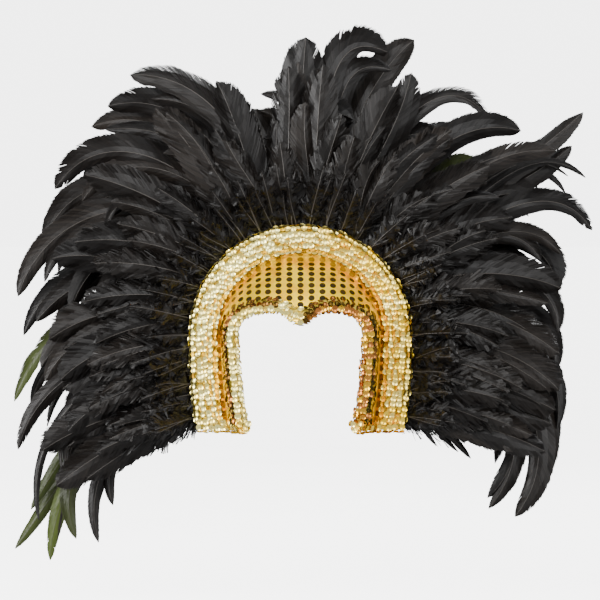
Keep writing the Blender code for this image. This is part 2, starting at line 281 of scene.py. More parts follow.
@dataclass(frozen=True)
class DyedCockFeather(Finish):
    """Cock feather dyed black: keratin with a soft grey sheen; on some, the bird's own green iridescence is painted
    into the colour as a green sheen towards the tip.
    """

    name: str = "dyed_cock_feather"
    dark: str = "#040303"
    light: str = "#28231f"
    down: str = "#0c0907"
    # Green iridescent sheen, painted into the colour
    painted_green_sheen: str = "#46521f"
    roughness: float = 0.37

    def paint(self, tree: bpy.types.NodeTree, shader: bpy.types.Node) -> None:
        """Tone by feather and by barb, browner down at the base, and a painted green sheen towards the tip of the
        iridescent ones.
        """
        tone = add_node(tree, "ShaderNodeAttribute", attribute_name="tone")
        luck = add_node(tree, "ShaderNodeAttribute", attribute_name="luck")
        fluff = add_node(tree, "ShaderNodeAttribute", attribute_name="fluff")
        green = add_node(tree, "ShaderNodeAttribute", attribute_name="green")
        few = add_node(tree, "ShaderNodeMath", {0: tone.outputs["Fac"], 1: 2.0}, operation="POWER")
        barb = add_node(tree, "ShaderNodeSeparateXYZ", {0: luck.outputs["Vector"]})
        shade = add_node(tree, "ShaderNodeMath", {0: barb.outputs[2], 1: 0.7, 2: 0.3}, operation="MULTIPLY_ADD")
        lift = add_node(tree, "ShaderNodeMath", {0: few, 1: 0.8, 2: 0.2}, operation="MULTIPLY_ADD")
        mixed = add_node(tree, "ShaderNodeMath", {0: lift, 1: shade}, operation="MULTIPLY")
        vane = add_node(tree, "ShaderNodeMix", {0: mixed, 6: linear(self.dark), 7: linear(self.light)}, data_type="RGBA")
        base = add_node(tree, "ShaderNodeMix", {0: fluff.outputs["Fac"], 6: vane.outputs[2], 7: linear(self.down)},
                        data_type="RGBA")
        colour = add_node(tree, "ShaderNodeMix", {0: green.outputs["Fac"], 6: base.outputs[2], 7: linear(self.painted_green_sheen)},
                          data_type="RGBA")
        tree.links.new(colour.outputs[2], shader.inputs["Base Color"])
        shader.inputs["Roughness"].default_value = self.roughness
        shader.inputs["Specular IOR Level"].default_value = 0.22
        shader.inputs["Sheen Weight"].default_value = 0.02
        shader.inputs["Sheen Roughness"].default_value = 0.4


@dataclass(frozen=True)
class FeatherShaft(Finish):
    """Feather shaft: smooth translucent keratin, greyed by the dye, paler towards the root."""

    name: str = "dyed_feather_shaft"
    root: str = "#423d38"
    tip: str = "#38332e"

    def paint(self, tree: bpy.types.NodeTree, shader: bpy.types.Node) -> None:
        """From the pale root to the dark tip."""
        along = add_node(tree, "ShaderNodeAttribute", attribute_name="along")
        ramp = add_node(tree, "ShaderNodeMapRange", {0: along.outputs["Fac"], 1: 0.0, 2: 0.45, 3: 0.0, 4: 1.0})
        colour = add_node(tree, "ShaderNodeMix", {0: ramp, 6: linear(self.root), 7: linear(self.tip)}, data_type="RGBA")
        tree.links.new(colour.outputs[2], shader.inputs["Base Color"])
        shader.inputs["Roughness"].default_value = 0.3


@dataclass(frozen=True)
class GoldLame(Finish):
    """Gold lame: flat metallised threads in a plain weave, which glint along the rib."""

    name: str = "gold_lame_woven"
    gold: str = "#ffd400"
    shade: str = "#f2ac00"
    rib_mm: float = 1.6  # real threads are 0.4 mm, drawn coarser so that they show
    roughness: float = 0.42

    def paint(self, tree: bpy.types.NodeTree, shader: bpy.types.Node) -> None:
        """Two crossed ribs and slow patches of deeper gold."""
        uv = add_node(tree, "ShaderNodeUVMap", uv_map="cloth")
        scale = math.pi / 10 / (self.rib_mm * MM)
        warp = add_node(tree, "ShaderNodeTexWave", {"Vector": uv, "Scale": scale}, bands_direction="X")
        weft = add_node(tree, "ShaderNodeTexWave", {"Vector": uv, "Scale": scale}, bands_direction="Y")
        weave = add_node(tree, "ShaderNodeMath", {0: warp.outputs["Fac"], 1: weft.outputs["Fac"]}, operation="MULTIPLY")
        patch = add_node(tree, "ShaderNodeTexNoise", {"Vector": uv, "Scale": 45.0, "Detail": 3.0})
        spread = add_node(tree, "ShaderNodeMapRange", {0: patch.outputs["Fac"], 1: 0.42, 2: 0.7, 3: 0.0, 4: 0.8})
        colour = add_node(tree, "ShaderNodeMix", {0: spread, 6: linear(self.gold), 7: linear(self.shade)},
                          data_type="RGBA")
        bump = add_node(tree, "ShaderNodeBump", {"Height": weave, "Strength": 0.35, "Distance": 0.25 * MM})
        slow = add_node(tree, "ShaderNodeBump", {"Height": patch.outputs["Fac"], "Strength": 0.5, "Distance": 2 * MM,
                                                 "Normal": bump})
        tree.links.new(colour.outputs[2], shader.inputs["Base Color"])
        tree.links.new(slow.outputs[0], shader.inputs["Normal"])
        shader.inputs["Metallic"].default_value = 0.9
        shader.inputs["Roughness"].default_value = self.roughness
        shader.inputs["Specular IOR Level"].default_value = 0.25


@dataclass(frozen=True)
class LameReverse(Finish):
    """The dull back of the lame on its stiff backing, as the head meets it."""

    name: str = "lame_reverse_stiffened"
    colour: str = "#8d7440"
    rib_mm: float = 2.0  # coarser than the real 0.8 mm canvas, so that it shows

    def paint(self, tree: bpy.types.NodeTree, shader: bpy.types.Node) -> None:
        """A plain canvas weave."""
        uv = add_node(tree, "ShaderNodeUVMap", uv_map="cloth")
        scale = math.pi / 10 / (self.rib_mm * MM)
        warp = add_node(tree, "ShaderNodeTexWave", {"Vector": uv, "Scale": scale}, bands_direction="X")
        weft = add_node(tree, "ShaderNodeTexWave", {"Vector": uv, "Scale": scale}, bands_direction="Y")
        weave = add_node(tree, "ShaderNodeMath", {0: warp.outputs["Fac"], 1: weft.outputs["Fac"]}, operation="MULTIPLY")
        bump = add_node(tree, "ShaderNodeBump", {"Height": weave, "Strength": 0.5, "Distance": 0.3 * MM})
        shade = add_node(tree, "ShaderNodeMix", {0: weave, 6: linear("#6d5a30"), 7: linear(self.colour)},
                         data_type="RGBA")
        tree.links.new(shade.outputs[2], shader.inputs["Base Color"])
        tree.links.new(bump.outputs[0], shader.inputs["Normal"])
        shader.inputs["Roughness"].default_value = 0.75


@dataclass(frozen=True)
class BronzeFoil(Finish):
    """The printed dots: bronze foil bonded to the lame, smoother and darker than the cloth."""

    name: str = "bronze_foil_dot"

    def paint(self, tree: bpy.types.NodeTree, shader: bpy.types.Node) -> None:
        """Dark olive bronze, a little warmer from dot to dot; up the band by the back border and beside the face edge
        it turns gold, a painted reflection of the gold trims.
        """
        warmth = add_node(tree, "ShaderNodeAttribute", attribute_name="warmth")
        colour = add_node(tree, "ShaderNodeMix", {0: warmth.outputs["Fac"], 6: linear("#211a02"), 7: linear("#d9a000")},
                          data_type="RGBA")
        tree.links.new(colour.outputs[2], shader.inputs["Base Color"])
        shader.inputs["Metallic"].default_value = 0.3
        shader.inputs["Roughness"].default_value = 0.45
        shader.inputs["Specular IOR Level"].default_value = 0.15


@dataclass(frozen=True)
class SequinFilm(Finish):
    """Cup sequins: metallised PET film, near mirror smooth, lacquered from champagne to copper; the colour each row
    gets also holds painted light and shade.
    """

    name: str = "metallised_pet_sequin"
    champagne: str = "#fff29a"
    gold: str = "#ffd22c"
    copper: str = "#b8743a"
    bronze: str = "#443614"

    def paint(self, tree: bpy.types.NodeTree, shader: bpy.types.Node) -> None:
        """Each sequin has one colour, from its row's lacquer with painted light and shade, and its own luck."""
        warmth = add_node(tree, "ShaderNodeAttribute", attribute_name="warmth")
        luck = add_node(tree, "ShaderNodeAttribute", attribute_name="luck")
        spread = add_node(tree, "ShaderNodeMath", {0: luck.outputs["Fac"], 1: 0.3, 2: -0.15},
                          operation="MULTIPLY_ADD")
        place = add_node(tree, "ShaderNodeMath", {0: warmth.outputs["Fac"], 1: spread}, operation="ADD")
        ramp = add_node(tree, "ShaderNodeValToRGB", {0: place})
        stops = ((0.0, self.champagne), (0.4, self.gold), (0.7, self.copper), (1.0, self.bronze))
        while len(ramp.color_ramp.elements) < len(stops):
            ramp.color_ramp.elements.new(0.5)
        for element, (position, code) in zip(ramp.color_ramp.elements, stops):
            element.position = position
            element.color = linear(code)
        tree.links.new(ramp.outputs[0], shader.inputs["Base Color"])
        shader.inputs["Metallic"].default_value = 1.0
        shader.inputs["Roughness"].default_value = 0.26


@dataclass(frozen=True)
class PaddingCloth(Finish):
    """Gold satin over the trims' padding, which shows between the sequins."""

    name: str = "gold_satin_padding"

    def paint(self, tree: bpy.types.NodeTree, shader: bpy.types.Node) -> None:
        """A mottled old gold."""
        place = add_node(tree, "ShaderNodeTexCoord")
        mottle = add_node(tree, "ShaderNodeTexNoise", {"Vector": place.outputs["Object"], "Scale": 220.0})
        colour = add_node(tree, "ShaderNodeMix", {0: mottle.outputs["Fac"], 6: linear("#a88c20"), 7: linear("#f5dc50")},
                          data_type="RGBA")
        bump = add_node(tree, "ShaderNodeBump", {"Height": mottle.outputs["Fac"], "Strength": 0.4, "Distance": MM})
        tree.links.new(colour.outputs[2], shader.inputs["Base Color"])
        tree.links.new(bump.outputs[0], shader.inputs["Normal"])
        shader.inputs["Metallic"].default_value = 0.3
        shader.inputs["Roughness"].default_value = 0.5


@dataclass(frozen=True)
class BlackTape(Finish):
    """Black cotton herringbone tape, matt, on which the feathers are sewn."""

    name: str = "black_cotton_tape"

    def paint(self, tree: bpy.types.NodeTree, shader: bpy.types.Node) -> None:
        """A twill rib that follows the tape."""
        uv = add_node(tree, "ShaderNodeUVMap", uv_map="cloth")
        rib = add_node(tree, "ShaderNodeTexWave", {"Vector": uv, "Scale": math.pi / 10 / (1.5 * MM)},
                       bands_direction="DIAGONAL")
        colour = add_node(tree, "ShaderNodeMix", {0: rib.outputs["Fac"], 6: linear("#0e0d0d"), 7: linear("#2a2827")},
                          data_type="RGBA")
        bump = add_node(tree, "ShaderNodeBump", {"Height": rib.outputs["Fac"], "Strength": 0.5, "Distance": 0.3 * MM})
        tree.links.new(colour.outputs[2], shader.inputs["Base Color"])
        tree.links.new(bump.outputs[0], shader.inputs["Normal"])
        shader.inputs["Roughness"].default_value = 0.9


@dataclass(frozen=True)
class LightTable(Finish):
    """Opal acrylic sheet lit from below, as product tables have it: an even pale white."""

    name: str = "opal_acrylic_light_table"

    def paint(self, tree: bpy.types.NodeTree, shader: bpy.types.Node) -> None:
        """Faintly uneven white that glows."""
        place = add_node(tree, "ShaderNodeTexCoord")
        haze = add_node(tree, "ShaderNodeTexNoise", {"Vector": place.outputs["Object"], "Scale": 3.0})
        colour = add_node(tree, "ShaderNodeMix", {0: haze.outputs["Fac"], 6: linear("#f4f4f3"), 7: linear("#fbfbfa")},
                          data_type="RGBA")
        tree.links.new(colour.outputs[2], shader.inputs["Base Color"])
        tree.links.new(colour.outputs[2], shader.inputs["Emission Color"])
        shader.inputs["Emission Strength"].default_value = 4.5
        shader.inputs["Roughness"].default_value = 0.6
        shader.inputs["Specular IOR Level"].default_value = 0.0


# The band's shape, as in the part's source


@dataclass(frozen=True)
class Arch:
    """The crown band's lines: its back line over the head, its face edge, and the cloth between."""

    crown_radius: float = 0.089
    leg_drop: float = 0.098
    leg_lean: float = 0.007
    wall: float = 0.0025
    bulge_top: float = 0.009
    bulge_leg: float = 0.004
    depth_top: float = 0.052
    depth_leg: float = 0.046
    flange_width: float = 0.034
    face_half_width: float = 0.078
    face_rise: float = 0.036
    face_squareness: float = 3.0
    face_leg_lean: float = 0.010
    peak_drop: float = 0.014
    peak_half_width: float = 0.018
    fit_gap: float = 0.0003
    tape_inset: float = 0.010

    @property
    def share(self) -> float:
        """The share of each half that is arch and not leg."""
        quarter = math.pi / 2 * self.crown_radius
        return quarter / (quarter + self.leg_drop)

    @property
    def middle_z(self) -> float:
        """Height of the arch's middle."""
        return -self.crown_radius

    @property
    def root_offset(self) -> float:
        """How far outside the back line the feathers leave their tapes."""
        return self.flange_width - self.tape_inset

    def length(self, offset: float) -> float:
        """Length of the whole line at that offset."""
        return math.pi * (self.crown_radius + offset) + 2 * self.leg_drop

    def point(self, station: float, offset: float) -> tuple[Vector, float]:
        """A point outside the back line.

        Args:
            station: place along the arch, -1 to 1.
            offset: metres outside the back line.

        Returns:
            (x, z), and which way is out, in degrees clockwise from up.
        """
        side = 1 if station >= 0 else -1
        share = abs(station) / self.share
        radius = self.crown_radius + offset
        if share <= 1:
            way_out = side * 90 * share
            return Vector((0, self.middle_z)) + radius * compass(way_out), way_out
        down = (abs(station) - self.share) / (1 - self.share)
        x = side * (radius - self.leg_lean * down ** 2)
        return Vector((x, self.middle_z - self.leg_drop * down)), side * 90

    def crown_blend(self, station: float, at_top: float, at_leg: float) -> float:
        """A size at a station, from its value over the forehead to its value down the legs."""
        share = min(1.0, abs(station) / self.share)
        return at_leg + (at_top - at_leg) * max(0.0, math.cos(math.pi / 2 * share)) ** 0.8

    def face(self, station: float) -> Vector:
        """The face edge, head side, at a station."""
        side = 1 if station >= 0 else -1
        share = abs(station) / self.share
        if share <= 1:
            angle = math.radians(90 * share)
            across = math.sin(angle) / self.face_half_width
            upward = math.cos(angle) / self.face_rise
            radius = (across ** self.face_squareness + upward ** self.face_squareness) ** (-1 / self.face_squareness)
            x = side * radius * math.sin(angle)
            peak = self.peak_drop * math.exp(-(x / self.peak_half_width) ** 2)
            z = self.middle_z + radius * math.cos(angle) - peak
        else:
            down = (abs(station) - self.share) / (1 - self.share)
            x = side * (self.face_half_width - self.face_leg_lean * down ** 1.6)
            z = self.middle_z - self.leg_drop * down
        return Vector((x, -self.crown_blend(station, self.depth_top, self.depth_leg), z))

    def across(self, station: float) -> tuple[Vector, Vector, Vector, Vector]:
        """Face point, back point, the unit chord between them and the unit normal away from the head."""
        face = self.face(station)
        (x, z), way_out = self.point(station, 0)
        back = Vector((x, 0, z))
        tangent = compass(way_out + 90)
        chord = (back - face).normalized()
        normal = Vector((tangent.x, 0, tangent.y)).cross(chord).normalized()
        return face, back, chord, normal

    def surface(self, station: float, distance: float, lift: float) -> Vector:
        """A point of the cloth.

        Args:
            station: place along the arch.
            distance: metres behind the face edge.
            lift: metres off the head side.

        Returns:
            The point.
        """
        face, back, chord, normal = self.across(station)
        share = distance / (back - face).length
        bulge = self.crown_blend(station, self.bulge_top, self.bulge_leg)
        swell = bulge * 4 * share * (1 - share) if share > 0 else 0
        return face + distance * chord + (swell + lift) * normal


ARCH = Arch()


def stations(count: int, reach: float = 1.0) -> list[float]:
    """Evenly spaced stations from -reach to reach."""
    return [reach * (2 * i / count - 1) for i in range(count + 1)]


# Small repeated things, by Geometry Nodes


def new_tree(name: str, inputs: Sequence[tuple[str, str, object]]) -> tuple[bpy.types.NodeTree, bpy.types.Node]:
    """Starts a Geometry Nodes tree.

    Args:
        name: the tree's name.
        inputs: name, socket type and default of each input after the geometry.

    Returns:
        The tree and its group input node.
    """
    tree = bpy.data.node_groups.new(name, "GeometryNodeTree")
    tree.interface.new_socket("Geometry", in_out="INPUT", socket_type="NodeSocketGeometry")
    for label, kind, default in inputs:
        socket = tree.interface.new_socket(label, in_out="INPUT", socket_type=kind)
        if default is not None:
            socket.default_value = default
    tree.interface.new_socket("Geometry", in_out="OUTPUT", socket_type="NodeSocketGeometry")
    return tree, add_node(tree, "NodeGroupInput")


@dataclass(frozen=True)
class CupSequins:
    """Cup sequins sewn overlapping along rows, each tipped a little its own way."""

    pitch: float = 0.0062
    radius: float = 0.0038
    hole: float = 0.0005
    cup: float = 0.0009
    lap_tilt: float = 11
    loose_tilt: float = 17
    wander: float = 0.0009
    sides: int = 12

    def cup_mesh(self) -> bpy.types.Object:
        """One sequin: a flat ring round its hole, and a raised rim."""
        rings = ((self.hole, 0.0), (0.62 * self.radius, 0.0), (self.radius, self.cup))
        verts = [
            Vector((r * math.cos(math.tau * i / self.sides), r * math.sin(math.tau * i / self.sides), z))
            for r, z in rings for i in range(self.sides)
        ]
        faces = []
        for ring in range(2):
            for i in range(self.sides):
                j = (i + 1) % self.sides
                low, high = ring * self.sides, (ring + 1) * self.sides
                faces.append((low + i, high + i, high + j, low + j))
        return make_object("cup_sequin", verts, [], faces)

    def tree(self) -> bpy.types.NodeTree:
        """Rows to sequins.

        Returns:
            A tree whose guide is a mesh of row lines with the attributes facing and warmth.
        """
        tree, given = new_tree("sewn_cup_sequins", (
            ("Pitch", "NodeSocketFloat", self.pitch),
            ("Lap Tilt", "NodeSocketFloat", math.radians(self.lap_tilt)),
            ("Loose Tilt", "NodeSocketFloat", math.radians(self.loose_tilt)),
            ("Wander", "NodeSocketFloat", self.wander),
            ("Seed", "NodeSocketInt", 3),
            ("Sequin", "NodeSocketObject", None),
            ("Film", "NodeSocketMaterial", None),
        ))
        rows = add_node(tree, "GeometryNodeMeshToCurve", {"Mesh": given.outputs["Geometry"]})
        points = add_node(tree, "GeometryNodeResampleCurve", {"Curve": rows, "Length": given.outputs["Pitch"]},
                          mode="LENGTH")
        astray = add_node(tree, "FunctionNodeRandomValue", {
            "Min": (-1.0, -1.0, -0.3), "Max": (1.0, 1.0, 0.3), "Seed": given.outputs["Seed"]}, data_type="FLOAT_VECTOR")
        offset = add_node(tree, "ShaderNodeVectorMath", {0: astray, 3: given.outputs["Wander"]}, operation="SCALE")
        facing = add_node(tree, "GeometryNodeInputNamedAttribute", {"Name": "facing"}, data_type="FLOAT_VECTOR")
        upright = add_node(tree, "FunctionNodeAlignRotationToVector", {"Vector": facing}, axis="Z")
        tangent = add_node(tree, "GeometryNodeInputTangent")
        along = add_node(tree, "FunctionNodeAlignRotationToVector", {"Rotation": upright, "Vector": tangent},
                         axis="X", pivot_axis="Z")
        stray = add_node(tree, "GeometryNodeSetPosition", {"Geometry": points, "Offset": offset})
        loose = add_node(tree, "ShaderNodeVectorMath", {0: (1.0, 1.0, 6.0), 3: given.outputs["Loose Tilt"]},
                         operation="SCALE")
        less = add_node(tree, "ShaderNodeVectorMath", {0: loose, 3: -1.0}, operation="SCALE")
        lap = add_node(tree, "ShaderNodeCombineXYZ", {1: given.outputs["Lap Tilt"]})
        tip = add_node(tree, "FunctionNodeRandomValue", {"Min": less, "Max": loose, "Seed": given.outputs["Seed"]},
                       data_type="FLOAT_VECTOR")
        turn = add_node(tree, "ShaderNodeVectorMath", {0: tip, 1: lap}, operation="ADD")
        local = add_node(tree, "FunctionNodeEulerToRotation", {0: turn})
        rotation = add_node(tree, "FunctionNodeRotateRotation", {"Rotation": along, "Rotate By": local},
                            rotation_space="LOCAL")
        shape = add_node(tree, "GeometryNodeObjectInfo", {"Object": given.outputs["Sequin"]})
        sewn = add_node(tree, "GeometryNodeInstanceOnPoints", {
            "Points": stray, "Instance": shape.outputs["Geometry"], "Rotation": rotation})
        luck = add_node(tree, "FunctionNodeRandomValue", {"Seed": given.outputs["Seed"]}, data_type="FLOAT")
        marked = add_node(tree, "GeometryNodeStoreNamedAttribute", {"Geometry": sewn, "Name": "luck", "Value": luck},
                          data_type="FLOAT", domain="INSTANCE")
        real = add_node(tree, "GeometryNodeRealizeInstances", {"Geometry": marked})
        dressed = add_node(tree, "GeometryNodeSetMaterial", {"Geometry": real, "Material": given.outputs["Film"]})
        add_node(tree, "NodeGroupOutput", {"Geometry": dressed})
        return tree


@dataclass(frozen=True)
class FoilDots:
    """Round foil dots laid on points of the cloth and pressed onto it."""

    radius: float = 0.0036
    lift: float = 0.0002
    sides: int = 14

    def tree(self) -> bpy.types.NodeTree:
        """Points with the attribute facing to dots that follow the cloth."""
        tree, given = new_tree("foil_dots", (
            ("Radius", "NodeSocketFloat", self.radius),
            ("Lift", "NodeSocketFloat", self.lift),
            ("Cloth", "NodeSocketObject", None),
            ("Foil", "NodeSocketMaterial", None),
        ))
        facing = add_node(tree, "GeometryNodeInputNamedAttribute", {"Name": "facing"}, data_type="FLOAT_VECTOR")
        rotation = add_node(tree, "FunctionNodeAlignRotationToVector", {"Vector": facing}, axis="Z")
        disc = add_node(tree, "GeometryNodeMeshCircle", {"Vertices": self.sides, "Radius": given.outputs["Radius"]},
                        fill_type="NGON")
        points = add_node(tree, "GeometryNodeMeshToPoints", {"Mesh": given.outputs["Geometry"]})
        laid = add_node(tree, "GeometryNodeInstanceOnPoints", {"Points": points, "Instance": disc.outputs["Mesh"],
                                                               "Rotation": rotation})
        real = add_node(tree, "GeometryNodeRealizeInstances", {"Geometry": laid})
        cloth = add_node(tree, "GeometryNodeObjectInfo", {"Object": given.outputs["Cloth"]})
        nearest = add_node(tree, "GeometryNodeProximity", {0: cloth.outputs["Geometry"]})
        above = add_node(tree, "ShaderNodeVectorMath", {0: facing, 3: given.outputs["Lift"]}, operation="SCALE")
        pressed = add_node(tree, "GeometryNodeSetPosition", {"Geometry": real, "Position": nearest.outputs["Position"],
                                                             "Offset": above})
        dressed = add_node(tree, "GeometryNodeSetMaterial", {"Geometry": pressed, "Material": given.outputs["Foil"]})
        add_node(tree, "NodeGroupOutput", {"Geometry": dressed})
        return tree


@dataclass(frozen=True)
class Barbs:
    """The vane of a cock feather, as barbs set along both sides of its shaft."""

    spacing: float = 0.0012
    width: float = 0.0032
    ragged: float = 0.13
    clump: float = 0.012
    camber: float = 0.30
    sweep_start: float = 0.95
    sweep_curl: float = 0.95
    segments: int = 3

    def tree(self) -> bpy.types.NodeTree:
        """Shaft lines to feathers.

        Returns:
            A tree whose guide is a mesh of shaft lines with the attributes heading, across, facing, half, bend,
            along, run, fluff, phase and shaft.
        """
        tree, given = new_tree("cock_feather_barbs", (
            ("Spacing", "NodeSocketFloat", self.spacing),
            ("Barb Width", "NodeSocketFloat", self.width),
            ("Raggedness", "NodeSocketFloat", self.ragged),
            ("Clump", "NodeSocketFloat", self.clump),
            ("Camber", "NodeSocketFloat", self.camber),
            ("Seed", "NodeSocketInt", 5),
            ("Vane", "NodeSocketMaterial", None),
            ("Shaft", "NodeSocketMaterial", None),
        ))
        shafts = add_node(tree, "GeometryNodeMeshToCurve", {"Mesh": given.outputs["Geometry"]})
        points = add_node(tree, "GeometryNodeResampleCurve", {"Curve": shafts, "Length": given.outputs["Spacing"]},
                          mode="LENGTH")
        points = add_node(tree, "GeometryNodeStoreNamedAttribute", {
            "Geometry": points, "Name": "spot", "Value": add_node(tree, "GeometryNodeInputPosition")},
            data_type="FLOAT_VECTOR", domain="POINT")
        both = add_node(tree, "GeometryNodeJoinGeometry")
        for side in (1, -1):
            strip = add_node(tree, "GeometryNodeMeshGrid", {"Size X": 1.0, "Size Y": 1.0,
                                                            "Vertices X": self.segments + 1, "Vertices Y": 2})
            place = add_node(tree, "ShaderNodeVectorMath", {0: add_node(tree, "GeometryNodeInputPosition"),
                                                            1: (0.5, 0.0, side)}, operation="ADD")
            blade = add_node(tree, "GeometryNodeStoreNamedAttribute", {
                "Geometry": strip.outputs["Mesh"], "Name": "barb", "Value": place}, data_type="FLOAT_VECTOR",
                domain="POINT")
            if side < 0:
                blade = add_node(tree, "GeometryNodeFlipFaces", {"Mesh": blade})
            set_on = add_node(tree, "GeometryNodeInstanceOnPoints", {"Points": points, "Instance": blade})
            seed = add_node(tree, "ShaderNodeMath", {0: given.outputs["Seed"], 1: side * 7.0}, operation="ADD")
            luck = add_node(tree, "FunctionNodeRandomValue", {"Seed": seed}, data_type="FLOAT_VECTOR")
            marked = add_node(tree, "GeometryNodeStoreNamedAttribute", {
                "Geometry": set_on, "Name": "luck", "Value": luck}, data_type="FLOAT_VECTOR", domain="INSTANCE")
            tree.links.new(marked.outputs[0], both.inputs[0])
        real = add_node(tree, "GeometryNodeRealizeInstances", {"Geometry": both})
        placed = add_node(tree, "GeometryNodeSetPosition", {"Geometry": real, "Position": self.place(tree, given)})
        vane = add_node(tree, "GeometryNodeSetMaterial", {"Geometry": placed, "Material": given.outputs["Vane"]})

        radius = add_node(tree, "GeometryNodeInputNamedAttribute", {"Name": "shaft"}, data_type="FLOAT")
        thick = add_node(tree, "GeometryNodeSetCurveRadius", {"Curve": shafts, "Radius": radius})
        ring = add_node(tree, "GeometryNodeCurvePrimitiveCircle", {"Resolution": 5, "Radius": 1.0})
        tube = add_node(tree, "GeometryNodeCurveToMesh", {
            "Curve": thick, "Profile Curve": ring.outputs["Curve"], "Scale": radius, "Fill Caps": True})
        shaft = add_node(tree, "GeometryNodeSetMaterial", {"Geometry": tube, "Material": given.outputs["Shaft"]})
        whole = add_node(tree, "GeometryNodeJoinGeometry", {0: vane})
        tree.links.new(shaft.outputs[0], whole.inputs[0])
        add_node(tree, "NodeGroupOutput", {"Geometry": whole})
        return tree

    def place(self, tree: bpy.types.NodeTree, given: bpy.types.Node) -> bpy.types.NodeSocket:
        """Where each point of a barb goes.

        Args:
            tree: the tree being built.
            given: its group input node.

        Returns:
            The position socket.
        """
        read = {
            name: next(s for s in add_node(tree, "GeometryNodeInputNamedAttribute", {"Name": name},
                                           data_type=kind).outputs if s.enabled)
            for name, kind in (
                ("spot", "FLOAT_VECTOR"), ("heading", "FLOAT_VECTOR"), ("across", "FLOAT_VECTOR"),
                ("facing", "FLOAT_VECTOR"), ("barb", "FLOAT_VECTOR"), ("luck", "FLOAT_VECTOR"), ("half", "FLOAT"),
                ("bend", "FLOAT"), ("run", "FLOAT"), ("fluff", "FLOAT"), ("phase", "FLOAT"))
        }
        barb = add_node(tree, "ShaderNodeSeparateXYZ", {0: read["barb"]})
        luck = add_node(tree, "ShaderNodeSeparateXYZ", {0: read["luck"]})
        out, wide, side = barb.outputs[0], barb.outputs[1], barb.outputs[2]

        def math_node(operation: str, *values: object) -> bpy.types.NodeSocket:
            """The output of a Math node on these values."""
            return add_node(tree, "ShaderNodeMath", dict(enumerate(values)), operation=operation).outputs[0]

        squared = math_node("MULTIPLY", out, out)
        # Barbs cling together in clumps, which close towards their tips and leave splits between them
        offset = math_node("MULTIPLY_ADD", side, 0.37, math_node("MULTIPLY", read["phase"], 91.0))
        count = math_node("DIVIDE", read["run"], given.outputs["Clump"])
        wander = add_node(tree, "ShaderNodeTexNoise", {"W": math_node("ADD", count, offset), "Scale": 0.6},
                          noise_dimensions="1D")
        tick = math_node("MULTIPLY_ADD", wander.outputs["Fac"], 2.4, math_node("ADD", count, offset))
        inside = math_node("SUBTRACT", math_node("FRACT", tick), 0.5)
        grip = add_node(tree, "ShaderNodeTexWhiteNoise", {"W": math_node("FLOOR", tick)}, noise_dimensions="1D")
        split = math_node("MULTIPLY", math_node("MAXIMUM", math_node("SUBTRACT", grip.outputs["Value"], 0.80), 0.0), 5.0)
        close = math_node("MULTIPLY", math_node("MULTIPLY", inside, split), squared)
        shift = math_node("MULTIPLY", math_node("MULTIPLY", close, given.outputs["Clump"]), -0.7)

        uneven = math_node("SUBTRACT", math_node("MULTIPLY", luck.outputs[0], 0.6), math_node("MULTIPLY", split, 0.8))
        ragged = math_node("MULTIPLY_ADD", read["fluff"], 0.9, given.outputs["Raggedness"])
        length = math_node("MULTIPLY_ADD", uneven, ragged, 1.0)
        reach = math_node("MULTIPLY", math_node("MULTIPLY", read["half"], length), out)
        aside = math_node("MULTIPLY", reach, side)
        closed = math_node("MULTIPLY_ADD", read["fluff"], -0.55, 1.0)
        sweep = math_node("MULTIPLY", math_node("MULTIPLY_ADD", out, self.sweep_curl, self.sweep_start), closed)
        ahead = math_node("MULTIPLY_ADD", reach, sweep, shift)
        thin = math_node("MULTIPLY_ADD", math_node("MULTIPLY", squared, squared), -0.3, 1.0)
        slim = math_node("MULTIPLY", thin, math_node("MULTIPLY_ADD", read["fluff"], -0.68, 1.0))
        # Barbs on the outer side of a bend fan apart, so they spread wider there
        fanned = math_node("MULTIPLY", math_node("MAXIMUM", math_node("MULTIPLY", read["bend"], side), 0.0), out)
        spread = math_node("MULTIPLY", slim, math_node("MULTIPLY_ADD", fanned, 4.5, 1.0))
        broad = math_node("MULTIPLY", math_node("MULTIPLY", wide, given.outputs["Barb Width"]), spread)
        forward = math_node("ADD", ahead, broad)
        fall = math_node("MULTIPLY", math_node("MULTIPLY", reach, out), math_node("MULTIPLY", given.outputs["Camber"], -1.0))
        loose = math_node("MULTIPLY_ADD", read["fluff"], 0.16, 0.12)
        tilt = math_node("MULTIPLY", broad, math_node("MULTIPLY_ADD", luck.outputs[1], loose, 0.05))
        swell = add_node(tree, "ShaderNodeTexNoise", {
            "W": math_node("MULTIPLY_ADD", read["run"], 28.0, math_node("MULTIPLY_ADD", side, 5.0, offset)),
            "Scale": 1.0, "Detail": 0.0}, noise_dimensions="1D")
        wave = math_node("MULTIPLY", reach, math_node("MULTIPLY_ADD", swell.outputs["Fac"], 0.6, -0.3))
        height = math_node("ADD", math_node("ADD", fall, tilt), wave)

        total = read["spot"]
        for direction, amount in (("across", aside), ("heading", forward), ("facing", height)):
            part = add_node(tree, "ShaderNodeVectorMath", {0: read[direction], 3: amount}, operation="SCALE")
            total = add_node(tree, "ShaderNodeVectorMath", {0: total, 1: part}, operation="ADD").outputs[0]
        # Down curls about
        curl = add_node(tree, "ShaderNodeTexNoise", {"Vector": total, "Scale": 110.0, "Detail": 1.0})
        centred = add_node(tree, "ShaderNodeVectorMath", {0: curl.outputs["Color"], 1: (0.5, 0.5, 0.5)},
                           operation="SUBTRACT")
        strength = math_node("MULTIPLY", math_node("MULTIPLY", read["fluff"], squared), 0.030)
        lift = add_node(tree, "ShaderNodeVectorMath", {0: centred, 3: strength}, operation="SCALE")
        return add_node(tree, "ShaderNodeVectorMath", {0: total, 1: lift}, operation="ADD").outputs[0]


# Sub-assemblies


